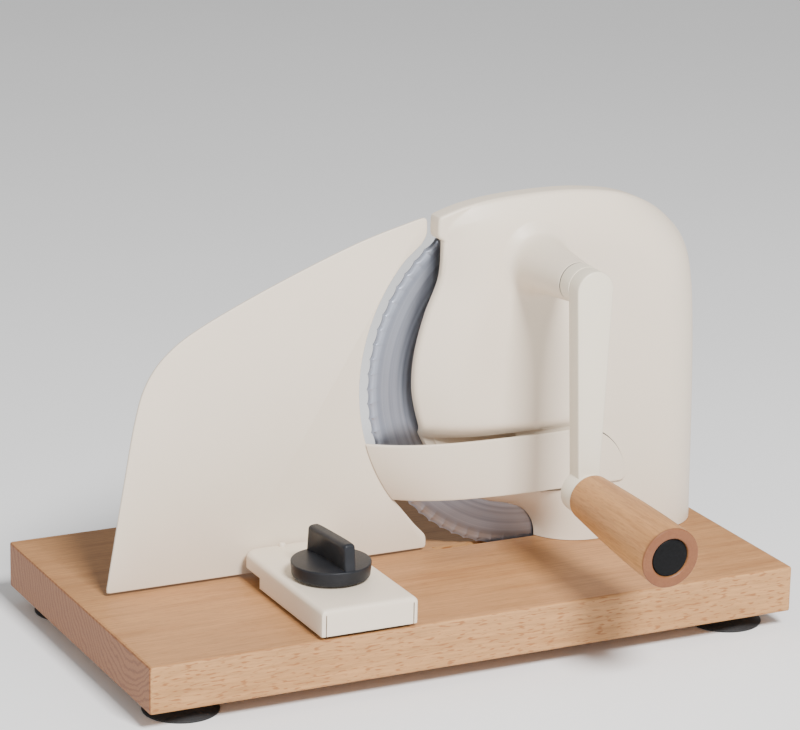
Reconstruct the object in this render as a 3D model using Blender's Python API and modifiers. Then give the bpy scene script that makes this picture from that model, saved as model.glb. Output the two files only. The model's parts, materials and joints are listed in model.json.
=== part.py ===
"""A hand-cranked bread slicer: beech board, cast housing with a gear train, scalloped round blade,
sliding stop plate with a clamp knob, and a crank with a turned wooden grip.

Lengths are in metres. The layout uses the board's own frame: x from its left end, y back from its front
edge, z up from its top face. One empty carries that frame to the part's own origin, on the floor under
the middle of the whole object's box. Seen from the front, the crank and the blade both turn about y.
"""

import math

import bmesh
import bpy
import numpy as np
from mathutils import Vector

MM = 0.001
GAP = 0.3 * MM  # clearance between neighbouring pieces

# Base board and feet
BOARD_LENGTH = 350 * MM
BOARD_WIDTH = 190.5 * MM
BOARD_THICKNESS = 24 * MM
BOARD_EDGE = 1.2 * MM
FOOT_HEIGHT = 9 * MM
FOOT_RADIUS = 18.9 * MM
FOOT_INSET_X = 24.8 * MM
FOOT_INSET_Y = 22.9 * MM
FRONT_REACH = -64.38 * MM  # y of the grip's foremost point, which sets the middle of the box

# Blade
BLADE_X = 249.5 * MM
BLADE_Z = 89.6 * MM
BLADE_TIP_RADIUS = 94.1 * MM
BLADE_ROOT_RADIUS = 92.6 * MM
BLADE_TEETH = 76
BLADE_FRONT = 94.9 * MM
BLADE_THICKNESS = 1.2 * MM
SLOT_HALF_LENGTH = 55 * MM
SLOT_DEPTH = 8 * MM

# Housing
HOUSING_FRONT = 75.7 * MM
HOUSING_REAR = 94.3 * MM
HOUSING_EDGE_RADIUS = 28.4 * MM
HOUSING_WALL = 3 * MM
LIP_RADIUS = 71.2 * MM
REAR_PLATE_FRONT = 90.6 * MM
REAR_PLATE_THICKNESS = 1.4 * MM
PLATE_POSTS = ((206, 150), (302, 158), (322, 60), (212, 66))  # mm, x and z
HOUSING_SCREW_X = (274, 302, 328)  # mm
HOUSING_SCREW_Y = 85 * MM

# Slice deflector
DEFLECTOR_TOP = 61.5 * MM
DEFLECTOR_BOTTOM = 30.8 * MM
DEFLECTOR_THICKNESS = 1.6 * MM
DEFLECTOR_END_X = 265 * MM
DEFLECTOR_END_Z = 33 * MM
DEFLECTOR_SCREW_X = (256, 280)  # mm
DEFLECTOR_SCREW_Z = 46 * MM

# Gear train: crank gear, idler pinion and wheel on one pin, blade pinion
MODULE = 1.25 * MM
WHEEL_TEETH = 32
PINION_TEETH = 20
GEAR_BACKLASH = 0.25 * MM
BLADE_GEAR_FRONT = 80.4 * MM
CRANK_GEAR_FRONT = 85.4 * MM
GEAR_WIDTH = 4.4 * MM

# Crank
CRANK_X = 239.8 * MM
CRANK_Z = 151.4 * MM
CRANK_SEAM = 36 * MM
ARM_FRONT = 17 * MM
ARM_BACK = 27 * MM
ARM_TOP_RADIUS = 9.9 * MM
ARM_END_RADIUS = 5.6 * MM
ARM_LENGTH = 104.5 * MM
HUB_RADIUS = 10.1 * MM
SHAFT_RADIUS = 5 * MM
GRIP_TILT = math.radians(4.3)
GRIP_LENGTH = 78.8 * MM
GRIP_ROOT_RADIUS = 11.8 * MM
GRIP_END_RADIUS = 15.1 * MM
GRIP_START = 1.8 * MM  # from the pin's reference point on the arm's front face, along the pin
GRIP_PLUG_RADIUS = 9.4 * MM

# Stop plate, its bracket and the clamp
FENCE_FRONT = 94.6 * MM
FENCE_THICKNESS = 1.7 * MM
FENCE_ARC_RADIUS = 98.6 * MM
BRACKET_LEFT = 85.9 * MM
BRACKET_RIGHT = 136.5 * MM
BRACKET_FRONT = -0.9 * MM
BRACKET_TOP = 15.3 * MM
BRACKET_BOTTOM = 1.9 * MM
BRACKET_SHEET = 1.5 * MM
BRACKET_FOLD = 4 * MM
FENCE_TRAVEL = 15 * MM
CLAMP_X = 111.2 * MM
CLAMP_Y = 41 * MM
KNOB_RADIUS = 19.9 * MM
KNOB_BOTTOM = 16.7 * MM
KNOB_DISC_TOP = 23.9 * MM
KNOB_TOP = 36.4 * MM
KNOB_TURN = math.radians(5.4)
STUD_RADIUS = 3 * MM
STUD_TOP = 21.8 * MM
RIVET_X = (98, 124)  # mm
RIVET_Z = 8.5 * MM

FACING_FRONT = (math.pi / 2, 0, 0)  # turns local z towards the front and local y up

FINISHES = {
    "beech": ((0.62, 0.40, 0.22), 0.55, 0.0),
    "cream_paint": ((0.76, 0.69, 0.60), 0.42, 0.0),
    "blade_steel": ((0.42, 0.44, 0.47), 0.30, 1.0),
    "zinc_steel": ((0.55, 0.55, 0.56), 0.38, 1.0),
    "gear_steel": ((0.40, 0.40, 0.41), 0.45, 1.0),
    "brass": ((0.72, 0.55, 0.26), 0.35, 1.0),
    "black_plastic": ((0.035, 0.037, 0.042), 0.55, 0.0),
    "black_rubber": ((0.02, 0.02, 0.02), 0.8, 0.0),
    "guide_plastic": ((0.25, 0.25, 0.26), 0.6, 0.0),
}


# Scene helpers


def clear_scene():
    for old in list(bpy.data.objects):
        bpy.data.objects.remove(old, do_unlink=True)


def new_collection(name):
    made = bpy.data.collections.new(name)
    bpy.context.scene.collection.children.link(made)
    return made


def finish_material(name):
    made = bpy.data.materials.get(name)
    if made is None:
        colour, roughness, metallic = FINISHES[name]
        made = bpy.data.materials.new(name)
        made.use_nodes = True
        shader = made.node_tree.nodes["Principled BSDF"]
        shader.inputs["Base Color"].default_value = (*colour, 1)
        shader.inputs["Roughness"].default_value = roughness
        shader.inputs["Metallic"].default_value = metallic
    return made


def body_empty(name, parent, place):
    empty = bpy.data.objects.new(name, None)
    empty.empty_display_size = 0.01
    PARTS.objects.link(empty)
    empty.parent = parent
    empty.location = Vector(place) - BODY_PLACES.get(parent.name if parent else "", Vector())
    BODY_PLACES[empty.name] = Vector(place)
    return empty


def add(name, mesh, finish, body, place=(0, 0, 0), rotation=(0, 0, 0)):
    """Link a mesh as a named piece on a body; place is in the board's frame."""
    piece = bpy.data.objects.new(name, mesh)
    mesh.name = name
    mesh.materials.clear()
    mesh.materials.append(finish_material(finish))
    PARTS.objects.link(piece)
    piece.parent = body
    piece.location = Vector(place) - BODY_PLACES[body.name]
    piece.rotation_euler = rotation
    return piece


def smooth(piece, degrees=35):
    piece.data.shade_smooth()
    piece.data.set_sharp_from_angle(angle=math.radians(degrees))


def bevel(piece, width, segments=2, angle=40):
    rounding = piece.modifiers.new("rounding", "BEVEL")
    rounding.width = width
    rounding.segments = segments
    rounding.limit_method = "ANGLE"
    rounding.angle_limit = math.radians(angle)
    return rounding


def combine(piece, other_mesh, operation, place=(0, 0, 0), rotation=(0, 0, 0)):
    """Cut a shape out of a piece, or join one to it, with a Boolean whose second shape is hidden."""
    other = bpy.data.objects.new(f"{piece.name}_{operation.lower()}", other_mesh)
    CUTTERS.objects.link(other)
    other.parent = piece.parent
    other.location = Vector(place) - BODY_PLACES[piece.parent.name]
    other.rotation_euler = rotation
    other.hide_render = True
    other.display_type = "WIRE"
    boolean = piece.modifiers.new(operation.lower(), "BOOLEAN")
    boolean.operation = operation
    boolean.solver = "EXACT"
    boolean.object = other
    return other


# Shape helpers


def box_mesh(low, high):
    low, high = np.array(low, float), np.array(high, float)
    built = bmesh.new()
    bmesh.ops.create_cube(built, size=1)
    for vertex in built.verts:
        vertex.co = Vector((low + high) / 2 + np.array(vertex.co) * (high - low))
    return finished_mesh(built)


def cylinder_mesh(radius, low, high, segments=24, top_radius=None):
    """A cylinder or cone along local z from low to high."""
    built = bmesh.new()
    bmesh.ops.create_cone(
        built,
        cap_ends=True,
        segments=segments,
        radius1=radius,
        radius2=radius if top_radius is None else top_radius,
        depth=high - low,
    )
    bmesh.ops.translate(built, verts=built.verts, vec=(0, 0, (low + high) / 2))
    return finished_mesh(built)


def finished_mesh(built):
    mesh = bpy.data.meshes.new("shape")
    built.to_mesh(mesh)
    built.free()
    return mesh


def turned_mesh(profile, segments=32):
    """A profile of (radius, height) points, outer side first from the top down, spun about local z."""
    profile = [(radius, height) for radius, height in profile]
    mesh = bpy.data.meshes.new("profile")
    edges = [(i, i + 1) for i in range(len(profile) - 1)]
    if profile[0][0] > 0:
        edges.append((len(profile) - 1, 0))
    mesh.from_pydata([(radius, 0, height) for radius, height in profile], edges, [])
    spun = bpy.data.objects.new("profile", mesh)
    bpy.context.scene.collection.objects.link(spun)
    screw = spun.modifiers.new("turn", "SCREW")
    screw.steps = screw.render_steps = segments
    screw.use_merge_vertices = True
    screw.merge_threshold = 0.00001
    return evaluated_mesh(spun)


def turned_y_mesh(profile, segments=32):
    """As turned_mesh, with the profile's heights given as y, foremost first; used with FACING_FRONT."""
    return turned_mesh([(radius, -y) for radius, y in profile], segments)


def evaluated_mesh(source):
    """The object's mesh with its modifiers applied and its doubles merged; the object is removed."""
    graph = bpy.context.evaluated_depsgraph_get()
    mesh = bpy.data.meshes.new_from_object(source.evaluated_get(graph))
    built = bmesh.new()
    built.from_mesh(mesh)
    bmesh.ops.remove_doubles(built, verts=built.verts, dist=0.00001)
    built.to_mesh(mesh)
    built.free()
    bpy.data.objects.remove(source, do_unlink=True)
    return mesh


def flat_mesh(loops, thickness):
    """A flat outline in local xy, its later loops as holes, with its thickness centred on z = 0."""
    curve = bpy.data.curves.new("outline", "CURVE")
    curve.dimensions = "2D"
    curve.fill_mode = "BOTH"
    curve.extrude = thickness / 2
    for loop in loops:
        spline = curve.splines.new("POLY")
        spline.points.add(len(loop) - 1)
        for point, (x, y) in zip(spline.points, loop):
            point.co = (x, y, 0, 1)
        spline.use_cyclic_u = True
    outline = bpy.data.objects.new("outline", curve)
    bpy.context.scene.collection.objects.link(outline)
    return evaluated_mesh(outline)


def loft_mesh(rings):
    """A closed solid through a list of rings with equal point counts, its ends capped."""
    rings = np.array(rings)
    count = rings.shape[1]
    built = bmesh.new()
    rows = [[built.verts.new(point) for point in ring] for ring in rings]
    for row, after in zip(rows, rows[1:]):
        for i in range(count):
            j = (i + 1) % count
            built.faces.new((row[i], row[j], after[j], after[i]))
    built.faces.new(rows[0])
    built.faces.new(rows[-1])
    bmesh.ops.recalc_face_normals(built, faces=built.faces)
    return finished_mesh(built)


def sheet_mesh(grid):
    """An open surface through a grid of points."""
    rows, columns, _ = grid.shape
    built = bmesh.new()
    verts = [[built.verts.new(grid[i, j]) for j in range(columns)] for i in range(rows)]
    for i in range(rows - 1):
        for j in range(columns - 1):
            built.faces.new((verts[i][j], verts[i][j + 1], verts[i + 1][j + 1], verts[i + 1][j]))
    return finished_mesh(built)


def circle(radius, count=24, centre=(0, 0)):
    return arc(centre, radius, 0, 360 * (count - 1) / count, count)


def arc(centre, radius, start, end, count):
    """Points on an arc between two angles in degrees."""
    angles = np.radians(np.linspace(start, end, count))
    return np.stack([centre[0] + radius * np.cos(angles), centre[1] + radius * np.sin(angles)], 1)


def smooth_line(points, steps=6):
    """A Catmull-Rom curve through the points."""
    points = np.array(points, float)
    padded = np.vstack([2 * points[0] - points[1], points, 2 * points[-1] - points[-2]])
    t = np.linspace(0, 1, steps, endpoint=False)[:, None]
    pieces = []
    for before, start, end, after in zip(padded, padded[1:], padded[2:], padded[3:]):
        pieces.append(
            0.5
            * (
                2 * start
                + (end - before) * t
                + (2 * before - 5 * start + 4 * end - after) * t**2
                + (3 * start - before - 3 * end + after) * t**3
            )
        )
    return np.vstack([*pieces, points[-1:]])


def resample(line, count):
    """The same open line with points at equal distances."""
    steps = np.linalg.norm(np.diff(line, axis=0), axis=1)
    run = np.concatenate([[0], np.cumsum(steps)])
    wanted = np.linspace(0, run[-1], count)
    return np.stack([np.interp(wanted, run, line[:, 0]), np.interp(wanted, run, line[:, 1])], 1)


def moved_inward(line, distance):
    """The line shifted to its right-hand side, which is the housing's inside."""
    tangent = np.gradient(line, axis=0)
    tangent /= np.linalg.norm(tangent, axis=1)[:, None]
    return line + distance * np.stack([tangent[:, 1], -tangent[:, 0]], 1)


def first_crossing(first, second):
    """Indices of the segments where two lines cross, and the point."""
    a, b = first[:-1, None], np.diff(first, axis=0)[:, None]
    c, d = second[None, :-1], np.diff(second, axis=0)[None]
    cross = b[..., 0] * d[..., 1] - b[..., 1] * d[..., 0]
    cross = np.where(abs(cross) < 1e-15, 1e-15, cross)
    offset = c - a
    t = (offset[..., 0] * d[..., 1] - offset[..., 1] * d[..., 0]) / cross
    u = (offset[..., 0] * b[..., 1] - offset[..., 1] * b[..., 0]) / cross
    i, j = np.argwhere((t >= 0) & (t <= 1) & (u >= 0) & (u <= 1))[0]
    return i, j, first[i] + t[i, j] * (first[i + 1] - first[i])


# Base board, feet and the screws under it


def base_board(body):
    board = add("base_board", box_mesh((0, 0, -BOARD_THICKNESS), (BOARD_LENGTH, BOARD_WIDTH, 0)), "beech", body)
    bevel(board, BOARD_EDGE)
    blade_middle = BLADE_FRONT + BLADE_THICKNESS / 2
    slot = box_mesh(
        (BLADE_X - SLOT_HALF_LENGTH, blade_middle - 2.2 * MM, -SLOT_DEPTH),
        (BLADE_X + SLOT_HALF_LENGTH, blade_middle + 2.2 * MM, 5 * MM),
    )
    combine(board, slot, "DIFFERENCE")
    for x, y in foot_places():
        pilot = cylinder_mesh(1.75 * MM + GAP, -BOARD_THICKNESS - MM, -BOARD_THICKNESS + 15 * MM, 16)
        combine(board, pilot, "DIFFERENCE", (x, y, 0))
    for x in HOUSING_SCREW_X:
        place = (x * MM, HOUSING_SCREW_Y, 0)
        combine(board, cylinder_mesh(2 * MM + GAP, -BOARD_THICKNESS - MM, MM, 16), "DIFFERENCE", place)
        counterbore = cylinder_mesh(4.6 * MM, -BOARD_THICKNESS - MM, -BOARD_THICKNESS + 6 * MM, 20)
        combine(board, counterbore, "DIFFERENCE", place)
    for x, y in guide_screw_places():
        combine(board, cylinder_mesh(1.5 * MM + GAP, -13 * MM, MM, 16), "DIFFERENCE", (x, y, 0))
    stud_hole = cylinder_mesh(STUD_RADIUS + GAP, -BOARD_THICKNESS - MM, MM, 20)
    combine(board, stud_hole, "DIFFERENCE", (CLAMP_X, CLAMP_Y, 0))
    head_hole = cylinder_mesh(7.5 * MM, -BOARD_THICKNESS - MM, -BOARD_THICKNESS + 5 * MM, 24)
    combine(board, head_hole, "DIFFERENCE", (CLAMP_X, CLAMP_Y, 0))


def foot_places():
    return [
        (x, y)
        for y in (FOOT_INSET_Y, BOARD_WIDTH - FOOT_INSET_Y)
        for x in (FOOT_INSET_X, BOARD_LENGTH - FOOT_INSET_X)
    ]


def feet(body):
    """Rubber cups: a neck against the board, a thin flared skirt, and a hollow underside."""
    top = -GAP
    bottom = -FOOT_HEIGHT
    cup = [
        (2.4 * MM, top),
        (8 * MM, top),
        (9 * MM, top - 2.4 * MM),
        (15 * MM, bottom + 3.2 * MM),
        (FOOT_RADIUS, bottom + 1.1 * MM),
        (FOOT_RADIUS - 0.5 * MM, bottom),
        (FOOT_RADIUS - 3.4 * MM, bottom),
        (9 * MM, bottom + 3.4 * MM),
        (6 * MM, bottom + 4.4 * MM),
        (2.4 * MM, bottom + 4.4 * MM),
    ]
    screw_head_top = bottom + 4.4 * MM - GAP
    screw = [
        (0, 13 * MM),
        (1.75 * MM, 12 * MM),
        (1.75 * MM, screw_head_top),
        (4.2 * MM, screw_head_top),
        (3.6 * MM, screw_head_top - 2 * MM),
        (0, screw_head_top - 2.2 * MM),
    ]
    for number, (x, y) in enumerate(foot_places(), 1):
        place = (x, y, -BOARD_THICKNESS)
        smooth(add(f"suction_foot_{number}", turned_mesh(cup, 28), "black_rubber", body, place))
        smooth(add(f"foot_screw_{number}", turned_mesh(screw, 12), "zinc_steel", body, place))


def housing_screws(body):
    head_top = -BOARD_THICKNESS + 6 * MM - GAP
    screw = [
        (0, 13 * MM),
        (1.6 * MM, 12.5 * MM),
        (1.6 * MM, head_top),
        (4.1 * MM, head_top),
        (4.1 * MM, head_top - 1.6 * MM),
        (2.6 * MM, head_top - 2.8 * MM),
        (0, head_top - 2.8 * MM),
    ]
    for number, x in enumerate(HOUSING_SCREW_X, 1):
        place = (x * MM, HOUSING_SCREW_Y, 0)
        smooth(add(f"housing_screw_{number}", turned_mesh(screw, 16), "zinc_steel", body, place))


# Housing


def lip_line():
    """The housing's left edge at its rear rim, from below the board's top up to the top corner."""
    blade = (BLADE_X, BLADE_Z)
    foot = arc((233.6 * MM, 1.2 * MM), 18.2 * MM, 0, 80, 16)
    around_blade = arc(blade, LIP_RADIUS, 259.8, 173, 50)
    up_to_corner = MM * smooth_line(
        [(178.9, 98.3), (179.6, 110.9), (184.3, 128.5), (191, 145.5), (192.2, 154), (190.4, 165), (188.6, 171.5)],
        10,
    )
    past_corner = MM * np.array([(188.3, 177.3), (188.2, 192)])
    below = np.array([(foot[0, 0], -6 * MM)])
    return resample(np.vstack([below, foot, around_blade, up_to_corner, past_corner]), 240)


def crown_line():
    """The top and right edge at the rear rim, from left of the top corner down past the board's top."""
    through = [
        (176, 172),
        (190, 177.4),
        (203.5, 181.4),
        (222, 184),
        (247.5, 185.1),
        (270, 184.2),
        (292.7, 180.3),
        (312.6, 171.6),
        (327, 160),
        (335.5, 147),
        (339.5, 130),
        (341.5, 107),
        (342.8, 75),
        (343.6, 40),
        (344.3, -6),
    ]
    return resample(MM * smooth_line(through, 12), 240)


def housing_ring(inset, y, floor=GAP, lip_points=34, crown_points=30):
    """The housing's outline in its plane at depth y, pulled in from the rear rim's outline by inset."""
    lip = moved_inward(lip_line(), inset)
    crown = moved_inward(crown_line(), inset)
    i, j, corner = first_crossing(lip, crown)
    lip = np.vstack([lip[: i + 1], corner])
    crown = np.vstack([corner, crown[j + 1 :]])
    lip = resample(above(lip, floor), lip_points)
    crown = resample(above(crown[::-1], floor)[::-1], crown_points)
    outline = np.vstack([lip, crown[1:]])
    return np.stack([outline[:, 0], np.full(len(outline), y), outline[:, 1]], 1)


def above(line, floor):
    """The part of a rising line that is higher than the floor, starting exactly on it."""
    start = np.argmax(line[:, 1] > floor)
    low, high = line[start - 1], line[start]
    share = (floor - low[1]) / (high[1] - low[1])
    return np.vstack([low + share * (high - low), line[start:]])


def edge_inset(y, radius):
    """How far a rounded edge of this radius pulls the outline in at depth y, against the rear rim."""
    centre = HOUSING_FRONT + HOUSING_EDGE_RADIUS
    rim = HOUSING_EDGE_RADIUS - math.sqrt(HOUSING_EDGE_RADIUS**2 - (centre - HOUSING_REAR) ** 2)
    return HOUSING_EDGE_RADIUS - math.sqrt(max(radius**2 - (centre - y) ** 2, 0)) - rim


def rounded_rings(front, rear, radius, floor, steps):
    """Rings from the rear forward, closer together where the rounded edge turns into the face."""
    centre = HOUSING_FRONT + HOUSING_EDGE_RADIUS
    start = math.asin((centre - rear) / radius)
    angles = np.linspace(start, math.pi / 2, steps)
    depths = [centre - radius * math.sin(angle) for angle in angles]
    depths[-1] = front
    return [housing_ring(edge_inset(y, radius), y, floor) for y in depths]


def housing_shell(body):
    outer = rounded_rings(HOUSING_FRONT, HOUSING_REAR, HOUSING_EDGE_RADIUS, GAP, 7)
    shell = add("housing_shell", loft_mesh(outer), "cream_paint", body)
    inner_radius = HOUSING_EDGE_RADIUS - HOUSING_WALL
    inner_front = HOUSING_FRONT + HOUSING_WALL
    inside = rounded_rings(inner_front, HOUSING_REAR + MM, inner_radius, 2.8 * MM, 5)
    cavity = combine(shell, loft_mesh(inside), "DIFFERENCE")
    keep_bosses(cavity)
    crank_boss = [
        (0, CRANK_SEAM),
        (10.2 * MM, CRANK_SEAM),
        (13.2 * MM, HOUSING_FRONT - 6 * MM),
        (14.4 * MM, HOUSING_FRONT - 2.5 * MM),
        (17 * MM, HOUSING_FRONT + 0.4 * MM),
        (0, HOUSING_FRONT + 0.4 * MM),
    ]
    combine(shell, turned_y_mesh(crank_boss, 36), "UNION", (CRANK_X, 0, CRANK_Z), FACING_FRONT)
    housing_holes(shell)
    smooth(shell, 30)


def keep_bosses(cavity):
    """Leave metal standing inside the cavity: bearings, posts, screw bosses and the deflector's seat."""
    idler_x, idler_z = idler_place()
    round_bosses = [
        (CRANK_X, CRANK_Z, 9.5 * MM, 84.6 * MM),
        (BLADE_X, BLADE_Z, 8 * MM, 80 * MM),
        (idler_x, idler_z, 6.5 * MM, 80 * MM),
    ]
    round_bosses += [(x * MM, z * MM, 4 * MM, REAR_PLATE_FRONT - GAP) for x, z in PLATE_POSTS]
    for x, z, radius, rear in round_bosses:
        boss = cylinder_mesh(radius, -rear, -HOUSING_FRONT + MM, 24)
        combine(cavity, boss, "DIFFERENCE", (x, 0, z), FACING_FRONT)
    for x in HOUSING_SCREW_X:
        combine(cavity, cylinder_mesh(5 * MM, MM, 16 * MM, 20), "DIFFERENCE", (x * MM, HOUSING_SCREW_Y, 0))
    seat = box_mesh((170 * MM, HOUSING_FRONT, 28 * MM), (297 * MM, 83 * MM, 74 * MM))
    combine(cavity, seat, "DIFFERENCE")


def housing_holes(shell):
    crank = (CRANK_X, 0, CRANK_Z)
    combine(shell, cylinder_mesh(7.5 * MM, -90 * MM, -30 * MM, 32), "DIFFERENCE", crank, FACING_FRONT)
    for x, z, radius in ((BLADE_X, BLADE_Z, 4 * MM), (*idler_place(), 3 * MM)):
        bore = cylinder_mesh(radius + GAP, -82 * MM, -76.9 * MM)
        combine(shell, bore, "DIFFERENCE", (x, 0, z), FACING_FRONT)
    for x, z in PLATE_POSTS:
        thread = cylinder_mesh(1.2 * MM + GAP, -92 * MM, -83 * MM, 16)
        combine(shell, thread, "DIFFERENCE", (x * MM, 0, z * MM), FACING_FRONT)
    for x in HOUSING_SCREW_X:
        thread = cylinder_mesh(1.6 * MM + GAP, -MM, 13.5 * MM, 16)
        combine(shell, thread, "DIFFERENCE", (x * MM, HOUSING_SCREW_Y, 0))
    combine(shell, deflector_pocket_mesh(), "DIFFERENCE")
    for x in DEFLECTOR_SCREW_X:
        place = (x * MM, 0, DEFLECTOR_SCREW_Z)
        combine(shell, cylinder_mesh(3.3 * MM, -81.6 * MM, -70 * MM, 20), "DIFFERENCE", place, FACING_FRONT)
        combine(shell, cylinder_mesh(1.6 * MM, -90 * MM, -70 * MM, 16), "DIFFERENCE", place, FACING_FRONT)


def rear_plate(body):
    """A flat cover inside the rim, standing on the four posts."""
    rear = REAR_PLATE_FRONT + REAR_PLATE_THICKNESS
    inset = edge_inset(REAR_PLATE_FRONT, HOUSING_EDGE_RADIUS - HOUSING_WALL) + 2 * GAP
    outline = housing_ring(inset, 0, 2.8 * MM + GAP, 28, 24)[:, [0, 2]]
    holes = [circle(9 * MM, 28, (BLADE_X, BLADE_Z)), circle(3.3 * MM, 20, idler_place())]
    holes += [circle(1.5 * MM, 16, (x * MM, z * MM)) for x, z in PLATE_POSTS]
    middle = REAR_PLATE_FRONT + REAR_PLATE_THICKNESS / 2
    mesh = flat_mesh([outline, *holes], REAR_PLATE_THICKNESS)
    add("rear_plate", mesh, "cream_paint", body, (0, middle, 0), FACING_FRONT)
    head = rear + GAP
    screw = [
        (0, 84 * MM),
        (1.2 * MM, 84.4 * MM),
        (1.2 * MM, head),
        (2.7 * MM, head),
        (2.4 * MM, head + 1.3 * MM),
        (0, head + 1.4 * MM),
    ]
    for number, (x, z) in enumerate(PLATE_POSTS, 1):
        place = (x * MM, 0, z * MM)
        mesh = turned_y_mesh(screw, 16)
        smooth(add(f"rear_plate_screw_{number}", mesh, "zinc_steel", body, place, FACING_FRONT))


# Slice deflector


def deflector_left(z):
    """Its left end follows the stop plate's arc with a hair gap."""
    return BLADE_X - np.sqrt((FENCE_ARC_RADIUS - 0.4 * MM) ** 2 - (z - BLADE_Z) ** 2)


def deflector_depth(x, z):
    """The band curls back from the housing's face to the blade's plane, steepest at its left end."""
    along = np.maximum(x - deflector_left(z), -2 * MM)
    return 75.9 * MM + 19.2 * MM * np.exp(-along / (22.5 * MM))


def deflector_grid(rows, columns, margin=0.0):
    """Points over the band's front: bottom to top, left end to rounded right end."""
    z = np.linspace(DEFLECTOR_BOTTOM - margin, DEFLECTOR_TOP + margin, rows)[:, None]
    reach = DEFLECTOR_TOP - DEFLECTOR_END_Z + margin
    rise = np.clip((z - DEFLECTOR_END_Z) / reach, 0, 1)
    right = DEFLECTOR_END_X + reach * np.sqrt(1 - rise**2 * 0.999)
    left = deflector_left(z) - margin
    along = np.linspace(0, 1, columns)[None] ** 1.4
    x = left + (right - left) * along
    z = np.broadcast_to(z, x.shape)
    return np.stack([x, deflector_depth(x, z), z], 2)


def slice_deflector(body):
    band = add("slice_deflector", sheet_mesh(deflector_grid(7, 18)), "cream_paint", body)
    wall = band.modifiers.new("sheet", "SOLIDIFY")
    wall.thickness = DEFLECTOR_THICKNESS
    wall.offset = -1
    wall.use_even_offset = True
    for x in DEFLECTOR_SCREW_X:
        place = (x * MM, 0, DEFLECTOR_SCREW_Z)
        boss = cylinder_mesh(3 * MM, -81.3 * MM, -77 * MM, 20)
        combine(band, boss, "UNION", place, FACING_FRONT)
        combine(band, cylinder_mesh(1.3 * MM, -83 * MM, -78.2 * MM, 16), "DIFFERENCE", place, FACING_FRONT)
    smooth(band, 40)
    screw = [
        (0, 78.6 * MM),
        (1 * MM, 78.8 * MM),
        (1 * MM, 83 * MM + GAP),
        (2.6 * MM, 83 * MM + GAP),
        (2.3 * MM, 84.6 * MM),
        (0, 84.7 * MM),
    ]
    for number, x in enumerate(DEFLECTOR_SCREW_X, 1):
        place = (x * MM, 0, DEFLECTOR_SCREW_Z)
        mesh = turned_y_mesh(screw, 16)
        smooth(add(f"deflector_screw_{number}", mesh, "zinc_steel", body, place, FACING_FRONT))


def deflector_pocket_mesh():
    """The recess that takes the band, with a sloped run-out above it, as a solid to cut away."""
    bed = deflector_grid(7, 18, GAP)
    bed[..., 1] += DEFLECTOR_THICKNESS + 2 * GAP
    lower, upper = bed[-1].copy(), bed[-1].copy()
    lower[:, 1] -= DEFLECTOR_THICKNESS - GAP
    lower[:, 2] += 0.1 * MM
    middle = lower.copy()
    middle[:, 1] = lower[:, 1] - 0.6 * (lower[:, 1] - HOUSING_FRONT)
    middle[:, 2] += 4 * MM
    upper[:, 1] = HOUSING_FRONT - 0.3 * MM
    upper[:, 2] += 10 * MM
    bed = np.concatenate([bed, lower[None], middle[None], upper[None]])
    rows, columns, _ = bed.shape
    front = bed.copy()
    front[..., 1] = 62 * MM
    built = bmesh.new()
    back = [[built.verts.new(bed[i, j]) for j in range(columns)] for i in range(rows)]
    face = [[built.verts.new(front[i, j]) for j in range(columns)] for i in range(rows)]
    for sheet in (back, face):
        for i in range(rows - 1):
            for j in range(columns - 1):
                built.faces.new((sheet[i][j], sheet[i][j + 1], sheet[i + 1][j + 1], sheet[i + 1][j]))
    for j in range(columns - 1):
        for i in (0, rows - 1):
            built.faces.new((back[i][j], back[i][j + 1], face[i][j + 1], face[i][j]))
    for i in range(rows - 1):
        for j in (0, columns - 1):
            built.faces.new((back[i][j], back[i + 1][j], face[i + 1][j], face[i][j]))
    bmesh.ops.recalc_face_normals(built, faces=built.faces)
    return finished_mesh(built)


# Gear train


def idler_place():
    """The idler's axis, one gear pair's distance from both the crank's and the blade's."""
    crank, blade = np.array((CRANK_X, CRANK_Z)), np.array((BLADE_X, BLADE_Z))
    pair = MODULE * (WHEEL_TEETH + PINION_TEETH) / 2
    apart = np.linalg.norm(blade - crank)
    towards = (blade - crank) / apart
    aside = math.sqrt(pair**2 - (apart / 2) ** 2)
    return tuple((crank + blade) / 2 + aside * np.array((-towards[1], towards[0])))


def direction(start, end):
    return math.atan2(end[1] - start[1], end[0] - start[0])


def gear_outline(teeth, tooth_angle):
    """An involute spur gear with a tooth centred on tooth_angle, in radians."""
    pressure = math.radians(20)
    pitch = MODULE * teeth / 2
    base = pitch * math.cos(pressure)
    involute = lambda angle: math.tan(angle) - angle  # noqa: E731
    half_at_pitch = math.pi / (2 * teeth) - GEAR_BACKLASH / (2 * pitch)
    flank = []
    for radius in (pitch - 1.2 * MODULE, pitch, pitch + 0.9 * MODULE):
        at = math.acos(min(base / radius, 1))
        flank.append((radius, half_at_pitch + involute(pressure) - involute(at)))
    points = []
    for tooth in range(teeth):
        centre = tooth_angle + 2 * math.pi * tooth / teeth
        for side, profile in ((-1, flank), (1, flank[::-1])):
            for radius, half in profile:
                angle = centre + side * half
                points.append((radius * math.cos(angle), radius * math.sin(angle)))
    return points


def gear(name, teeth, tooth_angle, bore, body, centre, front):
    mesh = flat_mesh([gear_outline(teeth, tooth_angle), circle(bore, 24)], GEAR_WIDTH)
    place = (centre[0], front + GEAR_WIDTH / 2, centre[1])
    return add(name, mesh, "gear_steel", body, place, FACING_FRONT)


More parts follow.
